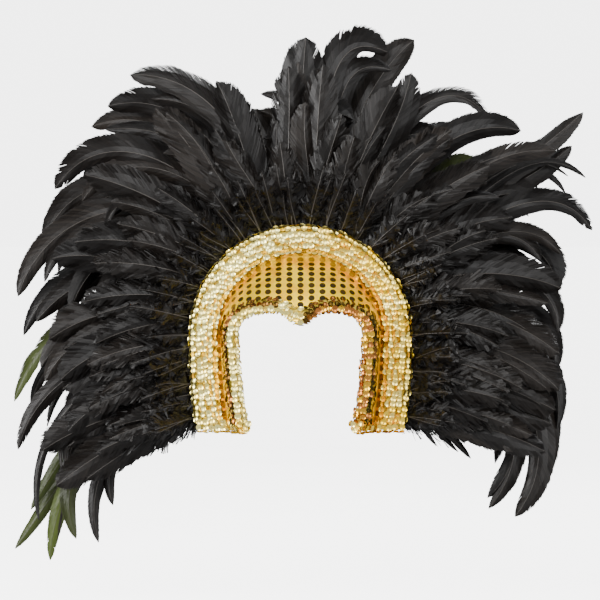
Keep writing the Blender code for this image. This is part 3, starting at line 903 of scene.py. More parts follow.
@dataclass
class CrownBand:
    """The gold lame band: a stiffened shell from face edge to flange, and its printed dots."""

    columns: int = 168
    steps: int = 12
    fold_steps: int = 6
    fold: float = 0.010
    dot_pitch: float = 0.0127
    row_pitch: float = 0.0084
    leg_row_pitch: float = 0.0104
    row_droop: float = 0.003
    dots: FoilDots = field(default_factory=FoilDots)

    def outer_line(self, station: float) -> Outline:
        """The cloth's outer side at a station, from the face edge over the rounded fold and up the flange."""
        face, back, _, _ = ARCH.across(station)
        length = (back - face).length
        before = ARCH.surface(station, length - self.fold, ARCH.wall)
        slope = (before - ARCH.surface(station, length - self.fold - 0.001, ARCH.wall)).normalized()
        up, _ = ARCH.point(station, self.fold)
        after = Vector((up.x, -ARCH.wall, up.y))
        corner = before + slope * abs((before.y + ARCH.wall) / slope.y)
        line = [ARCH.surface(station, (length - self.fold) * i / self.steps, ARCH.wall) for i in range(self.steps)]
        for i in range(self.fold_steps + 1):
            t = i / self.fold_steps
            line.append((1 - t) ** 2 * before + 2 * t * (1 - t) * corner + t * t * after)
        return line

    def section(self, station: float) -> Outline:
        """The band's closed outline at a station: head side, flange, outer side."""
        face, back, _, _ = ARCH.across(station)
        length = (back - face).length
        inner = [ARCH.surface(station, length * i / self.steps, 0) for i in range(self.steps + 1)]
        edge, _ = ARCH.point(station, ARCH.flange_width)
        flange = [Vector((edge.x, y, edge.y)) for y in (0, -ARCH.wall)]
        return inner + flange + self.outer_line(station)[::-1]

    def build(self) -> list[bpy.types.Object]:
        """Makes the band and its dots.

        Returns:
            The finished pieces.
        """
        rows = stations(self.columns)
        half = ARCH.length(0) / 2
        shell = loft("crown_band_cloth", [self.section(s) for s in rows], [half * s for s in rows])
        shell.data.materials.append(GoldLame().material())
        shell.data.materials.append(LameReverse().material())
        around = len(self.section(0.0))
        for polygon in shell.data.polygons:
            column = polygon.vertices[0] % around
            head_side = column < self.steps + 1 and len(polygon.vertices) == 4
            polygon.material_index = 1 if head_side else 0
        shell.data.set_sharp_from_angle(angle=math.radians(50))
        dots = settle(self.lay_dots(shell))
        settle(shell, "crown_band")
        return [shell, dots]

    def column(self, lines: Sequence[Outline], top: int, x: float) -> Outline:
        """One upright column of the print, as a line on the cloth from its lowest point up to the flange.

        Args:
            lines: outer lines at even stations from the arch's middle to a leg end.
            top: how many of them are arch and not leg.
            x: where the column stands in the front view.

        Returns:
            Points of the cloth.
        """
        found: Outline = []
        for j in range(len(lines[0])):
            crossing = next((i for i in range(top) if lines[i][j].x <= x < lines[i + 1][j].x), None)
            if crossing is None:
                continue
            low, high = lines[crossing][j], lines[crossing + 1][j]
            if not found and j:
                inner, outer = lines[top][j - 1].x, lines[top][j].x
                share = (x - inner) / (outer - inner)
                found = [line[j - 1].lerp(line[j], share) for line in lines[:top - 1:-1]]
            found.append(low.lerp(high, (x - low.x) / (high.x - low.x)))
        return found

    def lay_dots(self, cloth: bpy.types.Object) -> bpy.types.Object:
        """Lays the dots where level rows cross upright columns, as the print runs on the cut cloth.

        Args:
            cloth: the band's shell.

        Returns:
            The dots as one piece.
        """
        count = 240
        lines = [self.outer_line(i / count) for i in range(count + 1)]
        top = int(ARCH.share * count)
        middle = self.outer_line(0.0)[::-1]
        levels, walked = [], 0.5 * self.row_pitch
        for above, below in zip(middle, middle[1:]):
            stretch = (below - above).length
            while walked < stretch:
                levels.append(above.lerp(below, walked / stretch).z)
                walked += self.row_pitch
            walked -= stretch
        while levels[-1] > ARCH.middle_z - ARCH.leg_drop + self.leg_row_pitch:
            levels.append(levels[-1] - self.leg_row_pitch)
        points, facings, warmth = [], [], []
        pick = random.Random(4)
        around = ARCH.crown_radius + self.fold * 0.7
        for number in range(int(math.pi / 2 * around / self.dot_pitch) + 1):
            x = around * math.sin(number * self.dot_pitch / around)
            column = self.column(lines, top, x)
            beside = self.column(lines, top, x + 0.0004)
            for level in levels:
                height = level - self.row_droop * (x / ARCH.crown_radius) ** 2
                place = next((i for i in range(len(column) - 1) if column[i].z <= height < column[i + 1].z), None)
                if place is None or place >= len(beside) - 1:
                    continue
                low, high = column[place], column[place + 1]
                here = low.lerp(high, (height - low.z) / (high.z - low.z))
                face_edge = ARCH.face(0.0) if number == 0 else column[0]
                if (here - face_edge).length < 0.004:
                    continue
                near = min(beside, key=lambda point: (point - here).length)
                normal = (near - here).cross(high - low).normalized()
                if normal.length < 0.5:
                    continue
                normal = normal if normal.y < 0 else -normal
                for hand in (Hand if number else (Hand.LEFT,)):
                    points.append(Vector((hand.value * here.x, here.y, here.z)))
                    facings.append(Vector((hand.value * normal.x, normal.y, normal.z)))
                    rest = (column[-1] - here).length
                    # Dots beside the face edge and up by the back border turn gold: a painted reflection of the gold
                    # trims, stronger on the wearer's right
                    beside_face_painted_reflection = smoothstep((x - 0.070) / 0.02) * (0.5 if hand == Hand.RIGHT else 0.3)
                    near_trim_painted_reflection = 0.5 * smoothstep(1.6 - rest / 0.011)
                    warmth.append(min(1.0, 0.04 * pick.random() + max(beside_face_painted_reflection, near_trim_painted_reflection)))
        guide = make_object("crown_band_dots", points, [], [])
        set_attribute(guide.data, "facing", facings)
        set_attribute(guide.data, "warmth", warmth)
        return grow(guide, self.dots.tree(), {"Foil": BronzeFoil().material(), "Cloth": cloth})


@dataclass
class SequinRows:
    """Collects the lines that sequins are sewn along, with which way each point faces and its warmth."""

    points: list[Vector] = field(default_factory=list)
    edges: list[tuple[int, int]] = field(default_factory=list)
    facings: list[Vector] = field(default_factory=list)
    warmth: list[float] = field(default_factory=list)

    def row(self, places: Iterable[tuple[Vector, Vector, float]]) -> None:
        """Adds one row.

        Args:
            places: point, outward direction and warmth of each place along it.
        """
        first = len(self.points)
        for point, facing, warm in places:
            self.points.append(point)
            self.facings.append(facing)
            self.warmth.append(warm)
        self.edges += [(i, i + 1) for i in range(first, len(self.points) - 1)]

    def sew(self, name: str, tree: bpy.types.NodeTree, sequin: bpy.types.Object, seed: int) -> bpy.types.Object:
        """Sews the sequins on.

        Args:
            name: the piece's name.
            tree: the sequin tree.
            sequin: the shape of one.
            seed: for their tilts.

        Returns:
            The sequins as one piece.
        """
        guide = make_object(name, self.points, self.edges, [])
        set_attribute(guide.data, "facing", self.facings)
        set_attribute(guide.data, "warmth", self.warmth)
        return grow(guide, tree, {"Sequin": sequin, "Film": SequinFilm().material(), "Seed": seed})


@dataclass
class SequinTrims:
    """The padded trims and the sequins on them: back border, face binding and leg ends."""

    columns: int = 150
    back_width: float = 0.030
    back_puff: float = 0.011
    overhang: float = 0.003
    face_reach: float = 0.009
    face_grip: float = 0.010
    face_puff: float = 0.0065
    leg_height: float = 0.011
    sink: float = 0.0012
    border_rows: int = 7
    binding_rows: int = 6
    sequins: CupSequins = field(default_factory=CupSequins)

    def border_lacquer_and_painted_light(self, point: Vector) -> float:
        """The back border's colour, 0 champagne to 1 bronze: palest on the wearer's right and over the top, warmer
        towards the wearer's left; the difference between the sides is painted light and shade.
        """
        # Paler on the wearer's right, warmer to the left: painted light and shade over a champagne lacquer
        leftward = smoothstep(point.x / 0.16 + 0.4)
        return 0.03 + 0.24 * leftward

    def binding_lacquer_and_painted_shade(self, point: Vector, degrees: float) -> float:
        """The face binding's colour: bronze beads beside the lame, pale on the right and the peak, and copper on the
        left, which is painted shade.

        Args:
            point: where the sequin is.
            degrees: round the binding, positive away from the head.

        Returns:
            0 champagne to 1 bronze.
        """
        if -0.024 < point.x < 0.0 and point.z > ARCH.middle_z:
            return 0.05
        if point.x < 0:
            return 0.92 if degrees > 40 else 0.10
        # On the wearer's left the inner rows are copper, painted shade, turning bronze towards the peak
        beads = 0.95 if degrees > 40 else 0.64
        return max(beads, 0.95 - 12 * point.x) if point.z > ARCH.middle_z else beads

    def on_flange(self, station: float, share: float, sink: float) -> tuple[Vector, Vector]:
        """A place on the back border's padded front.

        Args:
            station: place along the arch.
            share: 0 at its inner edge to 1 at its outer edge.
            sink: metres below the full puff.

        Returns:
            The point and the way it faces.
        """
        def at(part: float) -> Vector:
            """The puffed profile at a share."""
            forward = max(0.0, 1 - abs(2 * part - 1) ** 2.6) ** 0.5
            offset = ARCH.flange_width + self.overhang - self.back_width * (1 - part)
            spot, _ = ARCH.point(station, offset)
            return Vector((spot.x, -ARCH.wall - ARCH.fit_gap - (self.back_puff - sink) * forward, spot.y))

        here = at(share)
        run = at(min(1.0, share + 0.01)) - at(max(0.0, share - 0.01))
        _, way_out = ARCH.point(station, 0)
        tangent = compass(way_out + 90)
        facing = run.cross(Vector((tangent.x, 0, tangent.y))).normalized()
        if facing.y > 0:
            facing = -facing
        return here, facing

    def border_shares(self) -> list[float]:
        """Shares of the back border's width that part its puffed front into even rows."""
        count = 200
        profile = [self.on_flange(0.0, i / count, self.sink)[0] for i in range(count + 1)]
        walked = [0.0]
        for first, second in zip(profile, profile[1:]):
            walked.append(walked[-1] + (second - first).length)
        wanted = [walked[-1] * (0.07 + 0.86 * row / (self.border_rows - 1)) for row in range(self.border_rows)]
        return [min(range(count + 1), key=lambda i: abs(walked[i] - w)) / count for w in wanted]

    def on_face_edge(self, station: float, degrees: float, sink: float) -> tuple[Vector, Vector]:
        """A place on the rounded face binding.

        Args:
            station: place along the arch.
            degrees: round the binding, 0 at its front, positive away from the head.
            sink: metres below the full puff.

        Returns:
            The point and the way it faces.
        """
        angle = math.radians(degrees)
        centre, middle = 0.15 * self.face_grip, ARCH.wall / 2
        along = centre - (self.face_reach + centre - sink) * math.cos(angle)
        lift = middle + (self.face_puff + middle - sink) * math.sin(angle)
        _, _, chord, normal = ARCH.across(station)
        facing = (-math.cos(angle) * chord + math.sin(angle) * normal).normalized()
        return ARCH.surface(station, along, lift), facing

    def pads(self) -> list[bpy.types.Object]:
        """Makes the padded bodies under the sequins.

        Returns:
            The finished pieces.
        """
        rows = stations(self.columns)
        half = ARCH.length(0) / 2
        lengths = [half * s for s in rows]
        back = [
            [self.on_flange(s, share / 12, self.sink)[0] for share in range(13)]
            for s in rows
        ]
        face = []
        for s in rows:
            rounded = [self.on_face_edge(s, 110 - 20 * i, self.sink)[0] for i in range(12)]
            gap = ARCH.fit_gap
            slot_points = ((self.face_grip, -gap), (-gap, -gap), (-gap, ARCH.wall + gap), (self.face_grip, ARCH.wall + gap))
            slot_line = [ARCH.surface(s, along, lift) for along, lift in slot_points]
            face.append(rounded + slot_line)
        made = [
            (loft("back_trim_pad", [ring[::-1] for ring in back], lengths), "back_trim"),
            (loft("face_trim_pad", face, lengths), "face_trim"),
        ]
        for hand in Hand:
            name = hand.name.lower()
            rings = [self.leg_ring(hand, i / 12) for i in range(13)]
            outlines = [[point for point, _ in ring] for ring in rings]
            made.append((loft(f"{name}_leg_trim_pad", outlines, [0.005 * i for i in range(13)]), f"{name}_leg_trim"))
        for pad, _ in made:
            pad.data.materials.append(PaddingCloth().material())
        settled = [settle(pad, node) for pad, node in made]
        return settled

    def leg_path(self, hand: Hand) -> list[Vector]:
        """The line along the top of a leg end's bar, from face edge to flange edge."""
        face, back, chord, _ = ARCH.across(hand.value)
        edge, _ = ARCH.point(hand.value, ARCH.flange_width)
        forward = -ARCH.wall - self.back_puff / 2
        corner = back + Vector((hand.value * ARCH.wall, forward, 0))
        return [face - self.face_reach * chord, face.lerp(corner, 0.5), corner, Vector((edge.x, forward, corner.z))]

    def leg_ring(self, hand: Hand, share: float) -> list[tuple[Vector, Vector]]:
        """A section of a leg end's bar.

        Args:
            hand: which leg.
            share: 0 at the face edge to 1 at the flange edge.

        Returns:
            Points and the ways they face, round the bar from its top.
        """
        path = self.leg_path(hand)
        place = share * (len(path) - 1)
        index = min(int(place), len(path) - 2)
        point = path[index].lerp(path[index + 1], place - index)
        low, high = max(0.0, share - 0.12), min(1.0, share + 0.12)
        ends = []
        for part in (low, high):
            spot = part * (len(path) - 1)
            first = min(int(spot), len(path) - 2)
            ends.append(path[first].lerp(path[first + 1], spot - first))
        run = (ends[1] - ends[0]).normalized()
        across = Vector((-run.y, run.x, 0)).normalized()
        ring = []
        for degrees in range(0, 181, 20):
            angle = math.radians(degrees)
            out = -math.cos(angle) * across * (self.face_puff - self.sink / 2)
            down = math.sin(angle) * (self.leg_height - self.sink) * 0.95
            spot = point + out - Vector((0, 0, down + ARCH.fit_gap))
            facing = (-math.cos(angle) * across - Vector((0, 0, math.sin(angle) ** 3))).normalized()
            ring.append((spot, facing))
        return ring

    def build(self) -> list[bpy.types.Object]:
        """Makes pads and sequins.

        Returns:
            The finished pieces.
        """
        made = self.pads()
        sequin = self.sequins.cup_mesh()
        tree = self.sequins.tree()
        rise = self.sequins.radius * 0.4
        back, face, legs = SequinRows(), SequinRows(), SequinRows()
        reach = stations(self.columns * 2, 0.992)
        for row, share in enumerate(self.border_shares()):
            places = [self.on_flange(s, share, self.sink) for s in reach[row % 2:]]
            back.row((p + rise * f, f, self.border_lacquer_and_painted_light(p)) for p, f in places)
        for row in range(self.binding_rows):
            degrees = 104 - 208 * row / (self.binding_rows - 1)
            places = [self.on_face_edge(s, degrees, self.sink) for s in reach]
            face.row((p + rise * f, f, self.binding_lacquer_and_painted_shade(p, degrees)) for p, f in places)
        for hand in Hand:
            rings = [self.leg_ring(hand, i / 16) for i in range(17)]
            for column in (0, 2, 4, 5, 7, 9):
                places = [ring[column] for ring in rings]
                # Warmer on the wearer's left leg than the right: painted light and shade, as on the back border
                legs.row((p + rise * f, f, 0.12 + 0.3 * smoothstep(p.x / 0.05)) for p, f in places)
            middle = sum((p for p, _ in rings[0]), Vector()) / len(rings[0])
            run = (rings[1][0][0] - rings[0][0][0]).normalized()
            for column in range(0, 10, 3):
                rim = rings[0][column][0]
                legs.row((rim.lerp(middle, share) - rise * run, -run, 0.2) for share in (0.1, 0.5, 0.95))
        for seed, (rows, name) in enumerate(((back, "back_trim_sequins"), (face, "face_trim_sequins"),
                                             (legs, "leg_trim_sequins"))):
            made.append(settle(rows.sew(name, tree, sequin, seed + 3)))
        bpy.data.objects.remove(sequin)
        return made


@dataclass(frozen=True)
class Plume:
    """One feather: where it is rooted, where its tip is and which way it heads there."""

    root: float
    lean: float
    bearing: float
    reach: float
    finish: float
    width: float
    sublayer: float = 0.0
    tone: float = 0.5
    green: float = 0.0


# root, lean, bearing, reach, finish, width, as in the part's source
BACK_TAILS = (
    (-0.97, -6, -125, 0.54, -115, 0.75),
    (-0.86, 0, -132, 0.99, -176, 0.70),
    (-0.78, 0, -127, 1.05, -143, 0.60),
    (-0.71, 0, -123, 0.94, -150, 0.60),
    (-0.60, 6, -106, 0.82, -178, 0.50),
    (-0.50, 12, -103, 0.86, -163, 0.75),
    (-0.40, 14, -90, 0.81, -160, 0.75),
    (-0.25, 12, -70, 0.80, -160, 1.00),
    (-0.18, 6, -45, 0.86, -112, 1.00),
    (-0.07, 2, -12, 0.67, -22, 1.20),
    (-0.03, 2, -9, 0.71, -88, 0.65),
    (0.09, 0, 21, 0.92, 50, 1.25),
    (0.20, 4, 38, 0.76, 92, 0.90),
    (0.30, 8, 52, 1.05, 48, 0.95),
    (0.36, -2, 62, 0.88, 150, 0.40),
    (0.42, -14, 62, 0.79, 135, 1.00),
    (0.55, -18, 110, 0.80, -170, 0.80),
    (0.62, -18, 117, 0.82, -165, 0.80),
    (0.69, -16, 122, 0.83, -155, 0.85),
    (0.82, 0, 111, 0.61, 140, 0.75),
    (0.93, 6, 126, 0.61, 140, 0.30),
)
MIDDLE_TAILS = (
    (-0.92, -2, -118, 0.62, -125, 0.80),
    (-0.82, 0, -121, 0.79, 178, 0.65),
    (-0.64, 4, -112, 0.89, -165, 0.70),
    (-0.53, 10, -97, 0.76, -150, 0.85),
    (-0.43, 14, -87, 0.77, -142, 0.90),
    (-0.31, 20, -82, 0.83, -163, 0.95),
    (-0.23, 10, -54, 0.78, -140, 0.90),
    (-0.14, 4, -40, 0.87, -105, 1.10),
    (-0.07, 4, -10, 0.66, -78, 0.70),
    (0.03, 0, 11, 0.90, 62, 0.50),
    (0.15, -8, 42, 0.83, 148, 0.85),
    (0.26, 4, 49, 0.72, 118, 0.90),
    (0.36, 4, 61, 0.95, 130, 0.35),
    (0.43, -24, 80, 0.76, 172, 1.05),
    (0.53, -18, 98, 0.75, -175, 0.90),
    (0.65, -14, 130, 0.82, -142, 1.00),
    (0.85, 4, 112, 0.62, 115, 0.90),
    (0.97, 8, 122, 0.50, 105, 0.80),
)
FRONT_TAILS = (
    (-0.95, -4, -121, 0.58, -118, 0.70),
    (-0.88, -2, -132, 0.88, 158, 0.70),
    (-0.75, 0, -116, 0.70, -150, 0.80),
    (-0.69, 6, -125, 0.93, 170, 0.35),
    (-0.63, 4, -109, 0.72, -150, 1.00),
    (-0.56, 10, -100, 0.75, -155, 0.85),
    (-0.47, 12, -92, 0.66, -140, 0.90),
    (-0.37, 16, -78, 0.76, -168, 0.70),
    (-0.30, 12, -63, 0.63, 178, 0.40),
    (-0.21, 8, -59, 0.83, -147, 1.05),
    (-0.09, 2, -33, 0.90, -92, 1.20),
    (0.00, 0, 1, 0.86, 5, 1.60),
    (0.06, 0, 17, 0.86, 115, 1.15),
    (0.13, 2, 23, 0.82, 12, 1.15),
    (0.21, 2, 47, 0.87, 105, 1.05),
    (0.28, 6, 54, 0.91, 95, 0.90),
    (0.38, 0, 70, 0.90, 147, 0.90),
    (0.48, -14, 89, 0.75, 178, 0.90),
    (0.59, -14, 120, 0.65, -128, 0.45),
    (0.76, -2, 106, 0.69, 130, 0.90),
    (0.89, 4, 117, 0.58, 110, 0.80),
)


# Feathers that get the bird's green iridescence painted on as a green sheen towards the tip, by strip and root, and how
# much
PAINTED_GREEN_SHEEN = {
    (Layer.BACK_TAIL, -0.86): 0.95,
    (Layer.BACK_TAIL, -0.78): 0.55,
    (Layer.BACK_TAIL, -0.71): 0.5,
    (Layer.BACK_TAIL, -0.50): 0.6,
    (Layer.FRONT_TAIL, -0.88): 0.35,
    (Layer.MIDDLE_TAIL, 0.26): 0.45,
}


@dataclass(frozen=True)
class Fan:
    """How feathers lie in the fan, as in the part's source."""

    reach: float = 0.400
    blade_width: float = 0.032
    sublayers: int = 5
    sublayer_pitch: float = 0.0027
    bare_quill: float = 0.014
    lean_run: float = 0.044
    spread_growth: float = 1.3
    back_curl: float = 0.040
    front_layers: float = 1.7
    tape_wall: float = 0.003
    tape_width: float = 0.012
    right_sag: float = 12
    left_sag: float = 2
    jitter_turn: float = 8

    def tape_depth(self, layer: Layer) -> float:
        """Depth of the middle of a layer's tape."""
        return ARCH.fit_gap + layer.value * (self.tape_wall + ARCH.fit_gap) + self.tape_wall / 2

    def depth(self, spot: Vector, layer: Layer, sublayer: float) -> float:
        """How far back a point of the fan lies.

        Args:
            spot: (x, z) in the front view.
            layer: its strip.
            sublayer: its place within the strip.

        Returns:
            Its Y.
        """
        distance = self.distance(spot)
        ramp = min(1.0, max(0.0, (distance - self.bare_quill) / self.lean_run))
        spread = 1 + self.spread_growth * max(0.0, distance) / self.reach
        behind = (layer.value - self.front_layers) * self.sublayers + sublayer
        curl = self.back_curl * (max(0.0, distance) / self.reach) ** 2
        return self.tape_depth(layer) + ramp * behind * self.sublayer_pitch * spread + curl

    def distance(self, spot: Vector) -> float:
        """How far a point of the front view is outside the tapes' edge."""
        x, z = spot
        radius = ARCH.crown_radius + ARCH.root_offset
        if z >= ARCH.middle_z:
            return math.hypot(x, z - ARCH.middle_z) - radius
        down = min(1.0, (ARCH.middle_z - z) / ARCH.leg_drop)
        beside = abs(x) - radius + ARCH.leg_lean * down ** 2
        below = max(0.0, ARCH.middle_z - ARCH.leg_drop - z)
        return math.hypot(beside, below) if beside > 0 else below

    def line(self, plume: Plume) -> Callable[[float], Vector]:
        """The shaft of a feather in the front view.

        Args:
            plume: the feather.

        Returns:
            A function from the share of its length to (x, z).
        """
        root, way_out = ARCH.point(plume.root, ARCH.root_offset)
        tip = Vector((0, ARCH.middle_z)) + plume.reach * self.reach * compass(plume.bearing)
        start = way_out + plume.lean
        turn = (plume.finish - start + 180) % 360 - 180
        handle = (tip - root).length / (3 * math.cos(math.radians(turn / 4)) ** 2)
        near = root + handle * compass(start)
        far = tip - handle * compass(plume.finish)

        def at(t: float) -> Vector:
            """The point at a share of the length."""
            a, b, c, d = (1 - t) ** 3, 3 * t * (1 - t) ** 2, 3 * t * t * (1 - t), t ** 3
            return a * root + b * near + c * far + d * tip

        return at

    def half_vane(self, plume: Plume, t: float) -> float:
        """Half width of the vane at a share of the length."""
        if t < 0.36:
            share = 0.12 + 0.88 * smoothstep((t - 0.06) / 0.30)
        else:
            bluntness = 3.4 + 3.2 * smoothstep((plume.width - 0.8) / 0.4)
            share = math.sqrt(max(0.0, 1 - ((t - 0.36) / 0.64) ** bluntness))
        return 0.5 * self.blade_width * plume.width * share

    def barb_reach(self, plume: Plume, t: float, run: float) -> float:
        """How far sideways a barb goes that leaves the shaft at t, so that its swept end meets the vane's edge.

        Args:
            plume: the feather.
            t: share of the shaft's length.
            run: the shaft's length over how far forward a barb goes for each metre sideways.

        Returns:
            Metres.
        """
        low, high = 0.0, 0.5 * self.blade_width * plume.width
        for _ in range(14):
            middle = (low + high) / 2
            if middle < self.half_vane(plume, min(1.0, t + middle / run)):
                low = middle
            else:
                high = middle
        return low


FAN = Fan()


@dataclass(frozen=True)
class ShortRule:
    """Short feathers set evenly along the arch: how many, how long, wide, uneven and drooping."""

    count: int
    length: float
    width: float
    jitter: float
    droop: float


@dataclass
class FeatherStrip:
    """One strip: a tape, the main feathers that the part has, and finer ones between them."""

    layer: Layer
    main: Sequence[Plume]
    companions: int
    fluff: float
    samples: int = 30
    barbs: Barbs = field(default_factory=Barbs)

    @property
    def node(self) -> str:
        """The solid that this strip replaces."""
        return f"{self.layer.name.lower()}_strip"

    def plumes(self) -> list[Plume]:
        """The main feathers and their companions, each with a tone of its own.

        Returns:
            All feathers of the strip.
        """
        pick = random.Random(40 + self.layer.value)
        everyone = []
        for plume in self.main:
            green = PAINTED_GREEN_SHEEN.get((self.layer, plume.root), 0.0)
            everyone.append(replace(plume, tone=pick.random(), green=green))
            for _ in range(self.companions):
                everyone.append(replace(
                    plume,
                    root=max(-0.985, min(0.985, plume.root + pick.uniform(-0.025, 0.025))),
                    lean=plume.lean + pick.uniform(-4, 4),
                    bearing=plume.bearing + pick.uniform(-4, 4),
                    reach=plume.reach * pick.uniform(0.70, 0.97),
                    finish=plume.finish + pick.uniform(-10, 10),
                    width=min(1.0, plume.width) * pick.uniform(0.65, 1.0),
                    sublayer=plume.sublayer + pick.uniform(-0.5, 0.5),
                    tone=pick.random(),
                ))
        return everyone

    def guide(self) -> bpy.types.Object:
        """Lays the shaft lines with what the barbs need to know at each point.

        Returns:
            A mesh of lines.
        """
        pick = random.Random(70 + self.layer.value)
        points: list[Vector] = []
        edges: list[tuple[int, int]] = []
        stored: dict[str, list] = {name: [] for name in (
            "heading", "across", "facing", "half", "bend", "along", "run", "fluff", "phase", "shaft", "tone",
            "green")}
        for plume in self.plumes():
            at = FAN.line(plume)
            roll, twist, phase = pick.uniform(-0.4, 0.4), pick.uniform(-0.4, 0.4), pick.random()
            first, run = len(points), 0.0
            length = sum((at((i + 1) / 12) - at(i / 12)).length for i in range(12))
            swept = length / (self.barbs.sweep_start + self.barbs.sweep_curl)
            for i in range(self.samples + 1):
                t = i / self.samples
                spot = at(t)
                before, after = at(t) - at(max(0.0, t - 0.02)), at(min(1.0, t + 0.02)) - at(t)
                slope = (before + after).normalized()
                right = Vector((slope.y, -slope.x))
                point = self.lift(spot, plume)
                heading = (self.lift(spot + 0.002 * slope, plume) - self.lift(spot - 0.002 * slope, plume)).normalized()
                across = (self.lift(spot + 0.002 * right, plume) - self.lift(spot - 0.002 * right, plume)).normalized()
                facing = across.cross(heading).normalized()
                if facing.y > 0:
                    facing = -facing
                angle = roll + twist * t
                turned = math.cos(angle) * across + math.sin(angle) * facing
                faced = math.cos(angle) * facing - math.sin(angle) * across
                if i:
                    run += (point - points[-1]).length
                points.append(point)
                stored["heading"].append(heading)
                stored["across"].append(turned)
                stored["facing"].append(faced)
                downy = min(1.0, self.fluff + (1 - self.fluff) * (1 - smoothstep((t - 0.12) / 0.28)))
                basal = 0.38 * FAN.blade_width * min(1.0, plume.width) * downy * smoothstep(t / 0.05)
                half = max(0.0006, FAN.barb_reach(plume, t, swept), basal * (1 - t) ** 0.5)
                turning = before.angle_signed(after, 0.0) / max(0.02 * length, before.length)
                stored["half"].append(half)
                stored["bend"].append(-turning * half)
                stored["along"].append(t)
                stored["run"].append(run)
                stored["fluff"].append(downy)
                stored["phase"].append(phase)
                stored["shaft"].append(0.0010 * (1 - 0.75 * t) * min(1.2, 0.5 + 0.5 * plume.width))
                stored["tone"].append(plume.tone)
                # The green sheen is painted colour, rising towards the tip where the barbs catch the light
                stored["green"].append(plume.green * smoothstep(2.2 * t - 0.9))
            edges += [(i, i + 1) for i in range(first, len(points) - 1)]
        guide = make_object(f"{self.node}_feathers", points, edges, [])
        for name, values in stored.items():
            set_attribute(guide.data, name, values)
        return guide

    def lift(self, spot: Vector, plume: Plume) -> Vector:
        """The point of the fan over a point of the front view."""
        return Vector((spot.x, FAN.depth(spot, self.layer, plume.sublayer), spot.y))

    def tape(self) -> bpy.types.Object:
        """Makes the tape the feathers are sewn on.

        Returns:
            The finished tape.
        """
        rows = stations(120)
        middle, wall = FAN.tape_depth(self.layer), FAN.tape_wall / 2
        outlines = []
        for station in rows:
            inner, _ = ARCH.point(station, ARCH.root_offset - FAN.tape_width)
            outer, _ = ARCH.point(station, ARCH.root_offset)
            outlines.append([Vector((p.x, y, p.y)) for p, y in (
                (inner, middle - wall), (inner, middle + wall), (outer, middle + wall), (outer, middle - wall))])
        half = ARCH.length(ARCH.root_offset) / 2
        made = loft(f"{self.node}_tape", outlines, [half * s for s in rows])
        made.data.materials.append(BlackTape().material())
        made.data.set_sharp_from_angle(angle=math.radians(40))
        return settle(made)

    def build(self, tree: bpy.types.NodeTree) -> list[bpy.types.Object]:
        """Makes the tape and the feathers.

        Args:
            tree: the barb tree.

        Returns:
            The finished pieces.
        """
        vane, shaft = DyedCockFeather().material(), FeatherShaft().material()
        grown = grow(self.guide(), tree, {"Vane": vane, "Shaft": shaft, "Seed": 11 + self.layer.value})
        for name in ("spot", "heading", "across", "facing", "half", "bend", "run", "phase", "shaft"):
            if grown.data.attributes.get(name):
                grown.data.attributes.remove(grown.data.attributes[name])
        return [settle(grown, self.node), self.tape()]


def table_plumes(rows: Sequence[Sequence[float]]) -> list[Plume]:
    """The rows of a table as feathers, near neighbours on distant sublayers.

    Args:
        rows: root, lean, bearing, reach, finish and width of each.

    Returns:
        The feathers, in order along the arch.
    """
    return [
        Plume(*row, sublayer=(2 * index) % FAN.sublayers)
        for index, row in enumerate(sorted(rows, key=lambda row: row[0]))
    ]


def rule_plumes(rule: ShortRule, seed: int) -> list[Plume]:
    """Feathers by rule, with the same draws as the part's source.

    Args:
        rule: how they are set.
        seed: for their unevenness.

    Returns:
        The feathers, in order along the arch.
    """
    pick = random.Random(seed)
    plumes = []
    for index in range(rule.count):
        station = -0.975 + 1.95 * index / (rule.count - 1)
        root, way_out = ARCH.point(station, ARCH.root_offset)
        down = max(0.0, abs(station) - ARCH.share) / (1 - ARCH.share)
        sag = (FAN.left_sag if station > 0 else -FAN.right_sag) * down
        droop = rule.droop * math.sin(math.radians(way_out)) * (1 - 0.5 * down)
        turn = FAN.jitter_turn * pick.uniform(-1, 1)
        length = rule.length * FAN.reach * (1 + rule.jitter * pick.uniform(-1, 1))
        tip = root + length * compass(way_out + sag + 0.4 * droop + turn) - Vector((0, ARCH.middle_z))
        plumes.append(Plume(
            root=station, lean=0.6 * sag, bearing=math.degrees(math.atan2(tip.x, tip.y)),
            reach=tip.length / FAN.reach, finish=way_out + sag + droop + turn, width=rule.width,
            sublayer=(2 * index) % FAN.sublayers))
    return plumes


@dataclass
class FeatherFan:
    """All six strips."""

    seed: int = 11

    def build(self) -> list[bpy.types.Object]:
        """Makes the strips, front to back.

        Returns:
            The finished pieces.
        """
        tree = Barbs().tree()
        strips = (
            FeatherStrip(Layer.HACKLE, rule_plumes(ShortRule(36, 0.19, 0.58, 0.18, 14), self.seed), 2, 0.80),
            FeatherStrip(Layer.SADDLE, rule_plumes(ShortRule(28, 0.32, 0.95, 0.16, 30), self.seed + 1), 2, 0.42),
            FeatherStrip(Layer.LONG_SADDLE, rule_plumes(ShortRule(26, 0.46, 1.20, 0.12, 46), self.seed + 2), 2, 0.15),
            FeatherStrip(Layer.FRONT_TAIL, table_plumes(FRONT_TAILS), 2, 0.0),
            FeatherStrip(Layer.MIDDLE_TAIL, table_plumes(MIDDLE_TAILS), 2, 0.0),
            FeatherStrip(Layer.BACK_TAIL, table_plumes(BACK_TAILS), 2, 0.0),
        )
        return [piece for strip in strips for piece in strip.build(tree)]


